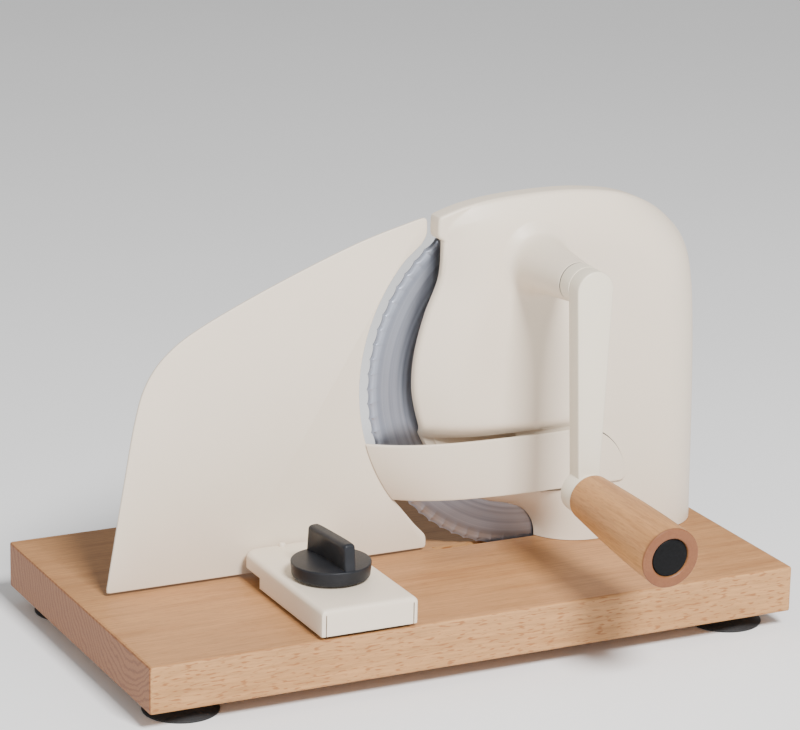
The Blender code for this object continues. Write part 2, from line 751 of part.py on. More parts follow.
def gears(crank_body, idler_body, blade_body):
    """Each pair has a tooth of its wheel and a gap of its pinion on the line between their axes."""
    crank, idler, blade = (CRANK_X, CRANK_Z), idler_place(), (BLADE_X, BLADE_Z)
    half_tooth = math.pi / PINION_TEETH
    to_idler = direction(crank, idler)
    gear("crank_gear", WHEEL_TEETH, to_idler, SHAFT_RADIUS + GAP, crank_body, crank, CRANK_GEAR_FRONT)
    facing = to_idler + math.pi + half_tooth
    gear("idler_pinion", PINION_TEETH, facing, 3.3 * MM, idler_body, idler, CRANK_GEAR_FRONT)
    to_blade = direction(idler, blade)
    gear("idler_wheel", WHEEL_TEETH, to_blade, 3.3 * MM, idler_body, idler, BLADE_GEAR_FRONT)
    facing = to_blade + math.pi + half_tooth
    gear("blade_pinion", PINION_TEETH, facing, 4.3 * MM, blade_body, blade, BLADE_GEAR_FRONT)


def idler_pin(body):
    x, z = idler_place()
    pin = [(0, 77.1 * MM), (3 * MM, 77.4 * MM), (3 * MM, 92 * MM), (0, 92.2 * MM)]
    smooth(add("idler_pin", turned_y_mesh(pin, 20), "zinc_steel", body, (x, 0, z), FACING_FRONT))


def bushes(body):
    sleeve = [(5.3 * MM, 38 * MM), (7.2 * MM, 38 * MM), (7.2 * MM, 84.4 * MM), (5.3 * MM, 84.4 * MM)]
    place = (CRANK_X, 0, CRANK_Z)
    smooth(add("crank_bush", turned_y_mesh(sleeve, 28), "brass", body, place, FACING_FRONT))
    flanged = [
        (4.3 * MM, 88.6 * MM),
        (11 * MM, 88.6 * MM),
        (11 * MM, REAR_PLATE_FRONT - GAP),
        (8.7 * MM, REAR_PLATE_FRONT - GAP),
        (8.7 * MM, 92.3 * MM),
        (4.3 * MM, 92.3 * MM),
    ]
    place = (BLADE_X, 0, BLADE_Z)
    smooth(add("blade_bush", turned_y_mesh(flanged, 28), "brass", body, place, FACING_FRONT))


# Blade


def blade_outline():
    """Concave scallops between pointed tips."""
    angles, radii = [], []
    for tooth in range(BLADE_TEETH):
        for share in (0, 0.3, 0.7):
            angles.append(2 * math.pi * (tooth + share) / BLADE_TEETH)
            depth = 4 * share * (1 - share)
            radii.append(BLADE_TIP_RADIUS - depth * (BLADE_TIP_RADIUS - BLADE_ROOT_RADIUS))
    return [(r * math.cos(a), r * math.sin(a)) for r, a in zip(radii, angles)]


def blade_unit(body):
    place = (BLADE_X, 0, BLADE_Z)
    mesh = flat_mesh([blade_outline(), circle(5.3 * MM, 28)], BLADE_THICKNESS)
    middle = BLADE_FRONT + BLADE_THICKNESS / 2
    add("slicing_blade", mesh, "blade_steel", body, (BLADE_X, middle, BLADE_Z), FACING_FRONT)
    flange = BLADE_FRONT - GAP
    rear = BLADE_FRONT + BLADE_THICKNESS
    shaft = [
        (0, 77.2 * MM),
        (4 * MM, 77.5 * MM),
        (4 * MM, 92.8 * MM),
        (16 * MM, 92.8 * MM),
        (16 * MM, flange),
        (5 * MM, flange),
        (5 * MM, rear),
        (1.9 * MM, rear),
        (1.9 * MM, 86 * MM),
        (0, 85.4 * MM),
    ]
    smooth(add("blade_shaft", turned_y_mesh(shaft, 24), "zinc_steel", body, place, FACING_FRONT))
    disc = [
        (2.2 * MM, rear + GAP),
        (17 * MM, rear + GAP),
        (17 * MM, rear + 0.8 * MM),
        (15.8 * MM, rear + 1.9 * MM),
        (4.4 * MM, rear + 1.9 * MM),
    ]
    smooth(add("blade_clamp_disc", turned_y_mesh(disc, 28), "zinc_steel", body, place, FACING_FRONT))
    screw = [
        (0, 87 * MM),
        (1.6 * MM, 87.3 * MM),
        (1.6 * MM, rear),
        (1.7 * MM, rear + 0.6 * MM),
        (3.9 * MM, rear + 2 * MM),
        (0, rear + 2.3 * MM),
    ]
    smooth(add("blade_screw", turned_y_mesh(screw, 24), "zinc_steel", body, place, FACING_FRONT))


# Crank and grip


def crank_arm(body):
    """A tapered bar with a hub at its top and a tilted eye for the grip's pin at its lower end."""
    top = arc((0, 0), ARM_TOP_RADIUS, 0, 180, 15)
    end = arc((0, -ARM_LENGTH), ARM_END_RADIUS, 180, 360, 9)
    middle = (ARM_FRONT + ARM_BACK) / 2
    mesh = flat_mesh([np.vstack([top, end])], ARM_BACK - ARM_FRONT)
    arm = add("crank_arm", mesh, "cream_paint", body, (CRANK_X, middle, CRANK_Z), FACING_FRONT)
    hub = cylinder_mesh(HUB_RADIUS, -CRANK_SEAM + GAP, -ARM_FRONT - MM, 36)
    combine(arm, hub, "UNION", (CRANK_X, 0, CRANK_Z), FACING_FRONT)
    eye = cylinder_mesh(11.1 * MM, -8.6 * MM, 1.4 * MM, 36)
    combine(arm, eye, "UNION", grip_place(), grip_rotation())
    bore = cylinder_mesh(SHAFT_RADIUS + GAP, -40 * MM, -20 * MM, 28)
    combine(arm, bore, "DIFFERENCE", (CRANK_X, 0, CRANK_Z), FACING_FRONT)
    combine(arm, cylinder_mesh(3.3 * MM, -20 * MM, 10 * MM, 20), "DIFFERENCE", grip_place(), grip_rotation())
    grub_hole = cylinder_mesh(1.8 * MM, 0, 20 * MM, 16)
    combine(arm, grub_hole, "DIFFERENCE", (CRANK_X, 31 * MM, CRANK_Z), (0, math.pi / 2, 0))
    smooth(arm, 30)
    grub = [(0, 9.4 * MM), (1.5 * MM, 9.3 * MM), (1.5 * MM, 5.6 * MM), (0, 5.4 * MM)]
    place = (CRANK_X, 31 * MM, CRANK_Z)
    smooth(add("hub_grub_screw", turned_mesh(grub, 16), "zinc_steel", body, place, (0, math.pi / 2, 0)))


def crank_shaft(body):
    place = (CRANK_X, 0, CRANK_Z)
    shaft = [
        (0, 20.4 * MM),
        (SHAFT_RADIUS, 20.8 * MM),
        (SHAFT_RADIUS, 90 * MM),
        (0, 90.2 * MM),
    ]
    rod = add("crank_shaft", turned_y_mesh(shaft, 28), "zinc_steel", body, place, FACING_FRONT)
    smooth(rod)


def grip_place():
    """The pin's reference point, on the arm's front face."""
    return (CRANK_X, ARM_FRONT, 46.9 * MM)


def grip_rotation():
    """The pin leans outwards: local z points forward and a little down."""
    return (math.pi / 2 + GRIP_TILT, 0, 0)


def grip_pin(body):
    place, rotation = grip_place(), grip_rotation()
    pin = [
        (0, GRIP_START + 72 * MM),
        (3 * MM, GRIP_START + 71.6 * MM),
        (3 * MM, -10.9 * MM),
        (5.6 * MM, -10.9 * MM),
        (5 * MM, -13 * MM),
        (0, -13.2 * MM),
    ]
    smooth(add("grip_pin", turned_mesh(pin, 24), "zinc_steel", body, place, rotation))
    nut_low = GRIP_START + 68 * MM
    nut = cylinder_mesh(6 * MM, nut_low, nut_low + 3.4 * MM, 6)
    piece = add("grip_nut", nut, "zinc_steel", body, place, rotation)
    combine(piece, cylinder_mesh(3.3 * MM, nut_low - MM, nut_low + 9 * MM, 20), "DIFFERENCE", place, rotation)


def handle_grip(body):
    """Turned beech, fuller towards its free end, with a recess for the nut and the end plug."""
    end = GRIP_START + GRIP_LENGTH
    recess = GRIP_START + 67.6 * MM
    swell = [(end - 2 * MM - share * (GRIP_LENGTH - 3.4 * MM)) for share in np.linspace(0, 1, 6)]
    outer = []
    for height in swell:
        share = (height - GRIP_START) / GRIP_LENGTH
        radius = GRIP_ROOT_RADIUS + (GRIP_END_RADIUS - GRIP_ROOT_RADIUS) * math.sin(share * math.pi / 2)
        outer.append((radius, height))
    profile = [
        (9.7 * MM, end),
        (GRIP_END_RADIUS - 1.7 * MM, end),
        *outer,
        (GRIP_ROOT_RADIUS - 1.2 * MM, GRIP_START),
        (3.3 * MM, GRIP_START),
        (3.3 * MM, recess),
        (9.7 * MM, recess),
    ]
    add_tilted("handle_grip", turned_mesh(profile, 32), "beech", body)
    plug_top = end - 0.5 * MM
    plug = [
        (0, plug_top),
        (GRIP_PLUG_RADIUS - 0.6 * MM, plug_top),
        (GRIP_PLUG_RADIUS, plug_top - 0.6 * MM),
        (GRIP_PLUG_RADIUS, plug_top - 3.4 * MM),
        (0, plug_top - 3.4 * MM),
    ]
    add_tilted("grip_end_plug", turned_mesh(plug, 28), "black_plastic", body)


def add_tilted(name, mesh, finish, body):
    """A piece on the grip's body, whose empty already leans with the pin."""
    smooth(add(name, mesh, finish, body, BODY_PLACES[body.name]))


# Stop plate, bracket, guide and clamp


def fence_outline():
    """A sloping back edge, a rounded shoulder, and an arc that keeps clear of the blade."""
    back = smooth_line(
        [
            (15.6, 2),
            (24.7, 53.9),
            (31, 87.9),
            (37.2, 106.6),
            (48.6, 120.6),
            (67.4, 132.4),
            (105.6, 149.3),
            (148.7, 165.5),
            (183.5, 175),
        ],
        5,
    )
    nose = [(186, 174.2), (186.9, 172), (186.9, 166.6), (184.5, 162.5)]
    blade = np.array((BLADE_X, BLADE_Z)) / MM
    around_blade = arc(blade, FENCE_ARC_RADIUS / MM, 138, 221, 28)
    foot = [(184.6, 13.2), (188.6, 8.9), (189.7, 6.4), (189.7, 2)]
    return MM * np.vstack([back, nose, around_blade, foot])


def stop_plate(body):
    outline = fence_outline()
    holes = [circle(1.9 * MM + GAP, 16, (x * MM, RIVET_Z)) for x in RIVET_X]
    mesh = flat_mesh([outline, *holes], FENCE_THICKNESS)
    middle = FENCE_FRONT + FENCE_THICKNESS / 2
    plate = add("stop_plate", mesh, "cream_paint", body, (0, middle, 0), FACING_FRONT)
    for x in RIVET_X:
        sink = cylinder_mesh(
            3.9 * MM,
            -FENCE_FRONT - FENCE_THICKNESS - 0.4 * MM,
            -FENCE_FRONT - 0.3 * MM,
            20,
            top_radius=2 * MM,
        )
        combine(plate, sink, "DIFFERENCE", (x * MM, 0, RIVET_Z), FACING_FRONT)


def slide_bracket(body):
    """Folded sheet: top, two side flanges, a front flange and a rear flange against the stop plate."""
    rear = FENCE_FRONT - GAP
    outer = box_mesh((BRACKET_LEFT, BRACKET_FRONT, BRACKET_BOTTOM), (BRACKET_RIGHT, rear, BRACKET_TOP))
    built = bmesh.new()
    built.from_mesh(outer)
    folds = [edge for edge in built.edges if is_fold(edge)]
    bmesh.ops.bevel(built, geom=folds, offset=BRACKET_FOLD, segments=4, profile=0.5, affect="EDGES")
    bottom = [face for face in built.faces if face.calc_center_median().z < BRACKET_BOTTOM + 0.01 * MM]
    bmesh.ops.delete(built, geom=bottom, context="FACES_ONLY")
    built.to_mesh(outer)
    built.free()
    bracket = add("slide_bracket", outer, "cream_paint", body)
    sheet = bracket.modifiers.new("sheet", "SOLIDIFY")
    sheet.thickness = BRACKET_SHEET
    sheet.offset = -1
    sheet.use_even_offset = True
    for x in (BRACKET_LEFT + 2 * MM, BRACKET_RIGHT - 2 * MM):
        slit = box_mesh((x - 0.35 * MM, -3 * MM, 0), (x + 0.35 * MM, 1.2 * MM, 11 * MM))
        combine(bracket, slit, "DIFFERENCE")
    slot = flat_mesh([clamp_slot_outline()], 8 * MM)
    combine(bracket, slot, "DIFFERENCE", (CLAMP_X, CLAMP_Y, BRACKET_TOP))
    for x in RIVET_X:
        hole = cylinder_mesh(1.9 * MM + GAP, -98 * MM, -90 * MM, 16)
        combine(bracket, hole, "DIFFERENCE", (x * MM, 0, RIVET_Z), FACING_FRONT)
    smooth(bracket, 30)


def is_fold(edge):
    """The top's edges and the upright corners at the front; the rear stays square."""
    ends = [vertex.co for vertex in edge.verts]
    at_top = all(end.z > BRACKET_TOP - 0.1 * MM for end in ends)
    at_rear = all(end.y > BRACKET_FRONT + 20 * MM for end in ends)
    return at_top and not at_rear


def clamp_slot_outline():
    """The stud's slot, which reaches back by the stop plate's travel."""
    radius = STUD_RADIUS + 0.5 * MM
    near = arc((0, 0), radius, 180, 360, 11)
    far = arc((0, FENCE_TRAVEL + 0.5 * MM), radius, 0, 180, 11)
    return np.vstack([near, far])


def fence_rivets(body):
    front = FENCE_FRONT - GAP - BRACKET_SHEET
    rear = FENCE_FRONT + FENCE_THICKNESS
    rivet = [
        (0, front - 1.6 * MM),
        (2.6 * MM, front - 1.3 * MM),
        (3.4 * MM, front - GAP),
        (1.9 * MM, front - GAP),
        (1.9 * MM, rear - 1 * MM),
        (3.2 * MM, rear),
        (0, rear),
    ]
    for number, x in enumerate(RIVET_X, 1):
        place = (x * MM, 0, RIVET_Z)
        mesh = turned_y_mesh(rivet, 20)
        smooth(add(f"fence_rivet_{number}", mesh, "zinc_steel", body, place, FACING_FRONT))


def guide_screw_places():
    return [(CLAMP_X, y * MM) for y in (14, 68)]


def guide_block(body):
    """A plain block that the bracket's flanges slide along."""
    side = BRACKET_SHEET + 0.5 * MM
    low = (BRACKET_LEFT + side, 6 * MM, GAP)
    high = (BRACKET_RIGHT - side, 75 * MM, BRACKET_TOP - BRACKET_SHEET - 0.5 * MM)
    block = add("guide_block", box_mesh(low, high), "guide_plastic", body)
    bevel(block, 2.6 * MM, 2)
    combine(block, cylinder_mesh(STUD_RADIUS + GAP, -2 * MM, 20 * MM, 20), "DIFFERENCE", (CLAMP_X, CLAMP_Y, 0))
    for x, y in guide_screw_places():
        combine(block, cylinder_mesh(1.8 * MM, -2 * MM, 20 * MM, 16), "DIFFERENCE", (x, y, 0))
        combine(block, cylinder_mesh(4.2 * MM, 9 * MM, 20 * MM, 20), "DIFFERENCE", (x, y, 0))
    screw = [
        (0, 11.6 * MM),
        (3.8 * MM, 11.4 * MM),
        (3.8 * MM, 9 * MM + GAP),
        (1.5 * MM, 9 * MM + GAP),
        (1.5 * MM, -11 * MM),
        (0, -12.5 * MM),
    ]
    for number, (x, y) in enumerate(guide_screw_places(), 1):
        smooth(add(f"guide_screw_{number}", turned_mesh(screw, 16), "zinc_steel", body, (x, y, 0)))


def clamp_stud(body):
    head_top = -BOARD_THICKNESS + 5 * MM - GAP
    stud = [
        (0, STUD_TOP),
        (STUD_RADIUS - 0.5 * MM, STUD_TOP),
        (STUD_RADIUS, STUD_TOP - 0.5 * MM),
        (STUD_RADIUS, head_top),
        (7 * MM, head_top),
        (7 * MM, head_top - 3 * MM),
        (0, head_top - 3 * MM),
    ]
    smooth(add("clamp_stud", turned_mesh(stud, 24), "zinc_steel", body, (CLAMP_X, CLAMP_Y, 0)))


def clamp_knob(body):
    """A disc with a finger wing that is hollowed on both sides, and a threaded insert."""
    disc = [
        (0, KNOB_DISC_TOP),
        (KNOB_RADIUS - 0.7 * MM, KNOB_DISC_TOP),
        (KNOB_RADIUS, KNOB_DISC_TOP - 0.7 * MM),
        (KNOB_RADIUS - 0.9 * MM, KNOB_BOTTOM),
        (0, KNOB_BOTTOM),
    ]
    place = (CLAMP_X, CLAMP_Y, 0)
    knob = add("clamp_knob", turned_mesh(disc, 48), "black_plastic", body, place)
    wing = wing_mesh()
    combine(knob, wing, "UNION", place, (0, 0, KNOB_TURN))
    hole = cylinder_mesh(5.2 * MM + GAP, KNOB_BOTTOM - 4 * MM, STUD_TOP + 0.6 * MM, 24)
    combine(knob, hole, "DIFFERENCE", place)
    smooth(knob, 30)
    insert = [
        (STUD_RADIUS + GAP, STUD_TOP + GAP),
        (5.2 * MM, STUD_TOP + GAP),
        (5.2 * MM, KNOB_BOTTOM),
        (STUD_RADIUS + GAP, KNOB_BOTTOM),
    ]
    smooth(add("knob_insert", turned_mesh(insert, 20), "brass", body, place))
    washer = [
        (STUD_RADIUS + GAP, KNOB_BOTTOM - GAP),
        (14 * MM, KNOB_BOTTOM - GAP),
        (14 * MM, BRACKET_TOP + GAP),
        (STUD_RADIUS + GAP, BRACKET_TOP + GAP),
    ]
    smooth(add("clamp_washer", turned_mesh(washer, 28), "zinc_steel", body, place))


def wing_mesh():
    """The wing: a rounded bar across the disc, waisted towards its foot for the fingers."""
    half_length = KNOB_RADIUS - 0.6 * MM
    base = KNOB_DISC_TOP - 2 * MM
    rings = []
    for share in np.linspace(0, 1, 9):
        height = base + share * (KNOB_TOP - base)
        crown = min((1 - share) * 5, 1)
        rounding = 1 - (1 - math.sqrt(1 - (1 - crown) ** 2)) * 0.5
        waist = 1.9 * MM * math.cos(share * math.pi / 2)
        end = half_length - 2.6 * MM * share
        along = np.concatenate([np.linspace(-1, 1, 15), np.linspace(1, -1, 15)])
        side = np.concatenate([np.ones(15), -np.ones(15)])
        half_width = (4 * MM - waist * (1 - along**2)) * rounding
        corner = np.clip((1 - abs(along)) * 5, 0, 1)
        half_width = half_width * (0.45 + 0.55 * np.sqrt(1 - (1 - corner) ** 2))
        shrink = 1 - 0.04 * (1 - rounding)
        rings.append(np.stack([side * half_width, along * end * shrink, np.full(30, height)], 1))
    return loft_mesh(rings)


def build():
    root_place = (0, 0, 0)
    slicer = body_empty("slicer", None, root_place)
    middle_y = (FRONT_REACH + BOARD_WIDTH) / 2
    slicer.location = (-BOARD_LENGTH / 2, -middle_y, BOARD_THICKNESS + FOOT_HEIGHT)
    crank = body_empty("crank_axis", slicer, (CRANK_X, ARM_FRONT, CRANK_Z))
    idler_x, idler_z = idler_place()
    idler = body_empty("idler_axis", slicer, (idler_x, CRANK_GEAR_FRONT, idler_z))
    blade = body_empty("blade_axis", slicer, (BLADE_X, BLADE_FRONT, BLADE_Z))
    fence = body_empty("fence_slide", slicer, (CLAMP_X, FENCE_FRONT, 0))
    knob = body_empty("knob_axis", slicer, (CLAMP_X, CLAMP_Y, 0))
    grip = body_empty("grip_axis", crank, grip_place())
    grip.rotation_euler = grip_rotation()

    base_board(slicer)
    feet(slicer)
    housing_screws(slicer)
    housing_shell(slicer)
    rear_plate(slicer)
    slice_deflector(slicer)
    bushes(slicer)
    idler_pin(slicer)
    gears(crank, idler, blade)
    blade_unit(blade)
    crank_arm(crank)
    crank_shaft(crank)
    grip_pin(crank)
    handle_grip(grip)
    stop_plate(fence)
    slide_bracket(fence)
    fence_rivets(fence)
    guide_block(slicer)
    clamp_stud(slicer)
    clamp_knob(knob)


clear_scene()
PARTS = new_collection("hand_cranked_bread_slicer")
CUTTERS = new_collection("cutters")
BODY_PLACES = {}
build()
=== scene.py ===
"""The looks of a hand-cranked bread slicer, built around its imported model."""

import json
import math

import bmesh
import bpy
import numpy as np
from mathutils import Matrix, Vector


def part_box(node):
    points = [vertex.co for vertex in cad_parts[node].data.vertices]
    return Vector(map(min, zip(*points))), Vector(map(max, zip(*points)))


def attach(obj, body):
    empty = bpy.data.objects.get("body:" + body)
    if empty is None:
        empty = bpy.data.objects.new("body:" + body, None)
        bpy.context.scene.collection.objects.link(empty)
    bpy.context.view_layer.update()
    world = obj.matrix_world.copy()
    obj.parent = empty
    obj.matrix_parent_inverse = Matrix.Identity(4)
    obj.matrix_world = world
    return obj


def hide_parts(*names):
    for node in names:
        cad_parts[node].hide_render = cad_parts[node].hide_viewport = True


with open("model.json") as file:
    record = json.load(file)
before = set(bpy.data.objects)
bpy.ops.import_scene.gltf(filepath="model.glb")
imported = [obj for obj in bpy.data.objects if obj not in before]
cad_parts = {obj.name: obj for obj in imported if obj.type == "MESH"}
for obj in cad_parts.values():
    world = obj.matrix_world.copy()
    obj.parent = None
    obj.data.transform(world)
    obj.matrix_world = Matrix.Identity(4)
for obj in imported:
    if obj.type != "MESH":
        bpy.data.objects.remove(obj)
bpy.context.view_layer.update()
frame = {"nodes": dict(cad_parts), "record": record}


# Base board: one piece of steamed beech, planed and oiled, with softened edges. Its grain runs along
# its length, its front edge shows short dark flecks under a painted lighter, cooler tint where it
# catches more light, and its ends show the growth rings.

board_low, board_high = (np.array(corner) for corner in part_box("base_board"))
BOARD_CORNER = np.array([board_low[0], board_low[1], board_high[2]])


def placed(x, y, z):
    """A point or arrays of points, in millimetres from the board's front left top corner, in metres."""
    return np.stack(np.broadcast_arrays(x, y, z), -1) * 0.001 + BOARD_CORNER


def new_material(name, roughness, metallic=0.0):
    """A material of one shader, with its gloss set."""
    made = bpy.data.materials.new(name)
    made.use_nodes = True
    shader = made.node_tree.nodes["Principled BSDF"]
    shader.inputs["Roughness"].default_value = roughness
    shader.inputs["Metallic"].default_value = metallic
    return made


def node(made, kind, feeds=None, **settings):
    """Add a shader node; feeds maps its inputs to values or to other nodes' outputs."""
    added = made.node_tree.nodes.new("ShaderNode" + kind)
    for key, value in settings.items():
        setattr(added, key, value)
    for key, value in (feeds or {}).items():
        if isinstance(value, bpy.types.NodeSocket):
            made.node_tree.links.new(value, added.inputs[key])
        else:
            added.inputs[key].default_value = value
    return added


def feed(made, socket, output):
    """Join an output to one of the shader's sockets."""
    made.node_tree.links.new(output, made.node_tree.nodes["Principled BSDF"].inputs[socket])


def in_place(made, scale=(1, 1, 1), centre=(0, 0, 0), turn=(0, 0, 0)):
    """Object coordinates measured from a centre, turned, then stretched by scale."""
    coordinates = node(made, "TexCoord").outputs["Object"]
    moved = node(made, "VectorMath", {0: coordinates, 1: tuple(centre)}, operation="SUBTRACT").outputs[0]
    return node(made, "Mapping", {"Vector": moved, "Rotation": turn, "Scale": scale}).outputs[0]


def noise(made, vector, scale, detail=2.0, roughness=0.5, distortion=0.0):
    feeds = {"Vector": vector, "Scale": scale, "Detail": detail, "Roughness": roughness}
    feeds["Distortion"] = distortion
    return node(made, "TexNoise", feeds).outputs["Fac"]


def ramp(made, factor, stops):
    """Colours or greys by factor: stops are (position, colour)."""
    added = node(made, "ValToRGB", {"Fac": factor})
    bar = added.color_ramp
    while len(bar.elements) < len(stops):
        bar.elements.new(0.5)
    for element, (position, colour) in zip(bar.elements, stops):
        element.position = position
        element.color = (*colour, 1) if isinstance(colour, tuple) else (colour, colour, colour, 1)
    return added.outputs["Color"]


def blended(made, first, second, factor, kind="MIX"):
    """Two colours mixed or multiplied by a factor."""
    feeds = {"Color1": first, "Color2": second, "Fac": factor}
    return node(made, "MixRGB", feeds, blend_type=kind).outputs[0]


def math_of(made, operation, first, second=0.0, third=None):
    """One step of arithmetic; MULTIPLY_ADD alone takes a third value."""
    feeds = {0: first, 1: second}
    if third is not None:
        feeds[2] = third
    return node(made, "Math", feeds, operation=operation).outputs[0]


def bumped(made, height, strength, distance):
    normal = node(made, "Bump", {"Height": height, "Strength": strength, "Distance": distance}).outputs[0]
    feed(made, "Normal", normal)


def grain_scale(along, lengthwise, across):
    """A pattern's scale on the grain's axis and on the two across it."""
    return [lengthwise if axis == along else across for axis in range(3)]


def beech(name, light, dark, fleck, along, centre):
    """Beech: wavy growth lines stretched along one axis, with fine pores.

    Returns the material, its colour without and with short dark flecks, and the pores.
    """
    made = new_material(name, 0.5)
    lines = noise(made, in_place(made, grain_scale(along, 1.0, 14.0), centre), 9, 6, 0.62, 0.7)
    fine = noise(made, in_place(made, grain_scale(along, 2.4, 52.0), centre), 14, 5, 0.75)
    broad = noise(made, in_place(made, grain_scale(along, 0.7, 3.0), centre), 6, 2)
    colour = ramp(made, lines, [(0.3, dark), (0.52, light), (0.75, tuple(c * 1.07 for c in light))])
    colour = blended(made, colour, ramp(made, fine, [(0.35, 0.55), (0.6, 1.06)]), 0.5, "MULTIPLY")
    colour = blended(made, colour, ramp(made, broad, [(0.3, 0.8), (0.7, 1.08)]), 0.5, "MULTIPLY")
    flecks = noise(made, in_place(made, grain_scale(along, 13.0, 70.0), centre), 14, 1.5, 0.4)
    spots = ramp(made, flecks, [(0.56, 0.0), (0.66, 0.75)])
    return made, colour, blended(made, colour, (*fleck, 1), spots), fine


BOARD_LIGHT = (0.475, 0.235, 0.093)
BOARD_DARK = (0.39, 0.18, 0.066)
BOARD_FLECK = (0.25, 0.085, 0.026)
BOARD_END = (0.235, 0.082, 0.027)
BOARD_END_LIGHT = (0.33, 0.132, 0.047)
# Painted light: this tint lightens and cools the board's front faces, as if they caught more light than the
# top.
FRONT_PAINTED_LIGHT = (1.1, 1.17, 1.2, 1)

board_wood, board_colour, flecked_colour, board_pores = beech(
    "board_beech", BOARD_LIGHT, BOARD_DARK, BOARD_FLECK, 0, BOARD_CORNER
)
board_wood.node_tree.nodes["Principled BSDF"].inputs["Specular IOR Level"].default_value = 0.35
RING_CENTRE = placed(0, 30, 34)
RING_RATE, RING_WOBBLE = 1750.0, 0.022
ring_place = in_place(board_wood, (0.0, 1.0, 1.0), RING_CENTRE)
ring_wobble = noise(board_wood, in_place(board_wood, (1, 1, 1), BOARD_CORNER), 22, 4, 0.6)
ring_reach = node(board_wood, "VectorMath", {0: ring_place}, operation="LENGTH").outputs["Value"]
ring_reach = math_of(board_wood, "MULTIPLY_ADD", ring_wobble, RING_WOBBLE, ring_reach)
ring_wave = math_of(board_wood, "SINE", math_of(board_wood, "MULTIPLY", ring_reach, RING_RATE))
ring_share = math_of(board_wood, "MULTIPLY_ADD", ring_wave, 0.5, 0.5)
end_rings = ramp(board_wood, ring_share, [(0.0, BOARD_END), (0.55, BOARD_END_LIGHT)])
end_pores = noise(board_wood, in_place(board_wood, (1, 1, 1), BOARD_CORNER), 1500, 2)
end_pores = ramp(board_wood, end_pores, [(0.35, 0.6), (0.6, 1.05)])
end_colour = blended(board_wood, end_rings, end_pores, 0.6, "MULTIPLY")
facing = node(board_wood, "SeparateXYZ", {0: node(board_wood, "NewGeometry").outputs["True Normal"]})
is_end = ramp(board_wood, math_of(board_wood, "ABSOLUTE", facing.outputs["X"]), [(0.6, 0.0), (0.75, 1.0)])
is_front = ramp(board_wood, math_of(board_wood, "ABSOLUTE", facing.outputs["Y"]), [(0.6, 0.0), (0.75, 1.0)])
# Painted light on the front faces: the flecked colour lightened by the tint above.
front_flecked_painted_lit = blended(board_wood, flecked_colour, FRONT_PAINTED_LIGHT, 1.0, "MULTIPLY")
board_colour = blended(board_wood, board_colour, flecked_colour, 0.3)
board_colour = blended(board_wood, board_colour, front_flecked_painted_lit, is_front)
board_colour = blended(board_wood, board_colour, end_colour, is_end)
feed(board_wood, "Base Color", board_colour)
bumped(board_wood, board_pores, 0.25, 0.0002)
frame["nodes"]["base_board"].material_slots[0].material = board_wood


# Suction feet: four black rubber cups, each moulded in one with a thin flared skirt and screwed up
# into the board through its hollow middle.


def grid_mesh(name, points, around=True, capped=False, merge=2e-6):
    """A mesh through a grid of points (rows, columns, 3), with one quad between each four neighbours.

    around joins the last column to the first, and capped closes the first and last rows with one flat
    face each. Points closer than merge become one, which closes poles and seams, and faces are turned
    outwards.
    """
    rows, columns = points.shape[:2]
    index = np.arange(rows * columns).reshape(rows, columns)
    after = np.roll(index, -1, 1) if around else index[:, 1:]
    here = index if around else index[:, :-1]
    faces = np.stack([here[:-1], after[:-1], after[1:], here[1:]], -1).reshape(-1, 4).tolist()
    if capped:
        faces += [index[0].tolist(), index[-1][::-1].tolist()]
    mesh = bpy.data.meshes.new(name)
    mesh.from_pydata(points.reshape(-1, 3), [], faces)
    working = bmesh.new()
    working.from_mesh(mesh)
    bmesh.ops.remove_doubles(working, verts=working.verts, dist=merge)
    bmesh.ops.recalc_face_normals(working, faces=working.faces)
    working.to_mesh(mesh)
    working.free()
    return mesh


def surface(name, points, material, body, stands_for=(), around=True, sharp=35, capped=False):
    """A piece from a grid of points, smooth up to the sharp angle in degrees, hung on its body."""
    mesh = grid_mesh(name, points, around, capped)
    mesh.shade_smooth()
    mesh.set_sharp_from_angle(angle=math.radians(sharp))
    piece = bpy.data.objects.new(name, mesh)
    bpy.context.scene.collection.objects.link(piece)
    piece.data.materials.append(material)
    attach(piece, body)
    if stands_for:
        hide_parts(*stands_for)
    return piece


def turned(profile, centre, axis=(0, 0, 1), columns=64):
    """Points of a profile of (radius, height) carried round an axis through centre; heights in mm."""
    profile = np.array(profile, float)
    axis = Vector(axis).normalized()
    side = axis.orthogonal().normalized()
    other = axis.cross(side)
    angles = np.linspace(0, 2 * np.pi, columns, endpoint=False)
    ring = np.cos(angles)[:, None] * np.array(side) + np.sin(angles)[:, None] * np.array(other)
    spokes = profile[:, None, :1] * ring[None]
    return placed(*centre) + 0.001 * (spokes + profile[:, None, 1:] * np.array(axis))


def softened(corners, radius, steps=4):
    """A profile through corners, each inner one rounded by a quadratic curve of about this radius."""
    corners = np.array(corners, float)
    made = [corners[:1]]
    for before, corner, after in zip(corners, corners[1:], corners[2:]):
        into, out = before - corner, after - corner
        reach = min(radius, np.linalg.norm(into) * 0.45, np.linalg.norm(out) * 0.45)
        start = corner + into / np.linalg.norm(into) * reach
        end = corner + out / np.linalg.norm(out) * reach
        t = np.linspace(0, 1, steps + 1)[:, None]
        made.append((1 - t) ** 2 * start + 2 * t * (1 - t) * corner + t**2 * end)
    return np.vstack([*made, corners[-1:]])


rubber = new_material("foot_rubber", 0.7)
rubber_spots = noise(rubber, in_place(rubber), 900, 2)
RUBBER_DARK, RUBBER_LIGHT = (0.007, 0.007, 0.008), (0.016, 0.016, 0.017)
feed(rubber, "Base Color", ramp(rubber, rubber_spots, [(0.3, RUBBER_DARK), (0.7, RUBBER_LIGHT)]))
bumped(rubber, rubber_spots, 0.2, 0.0001)

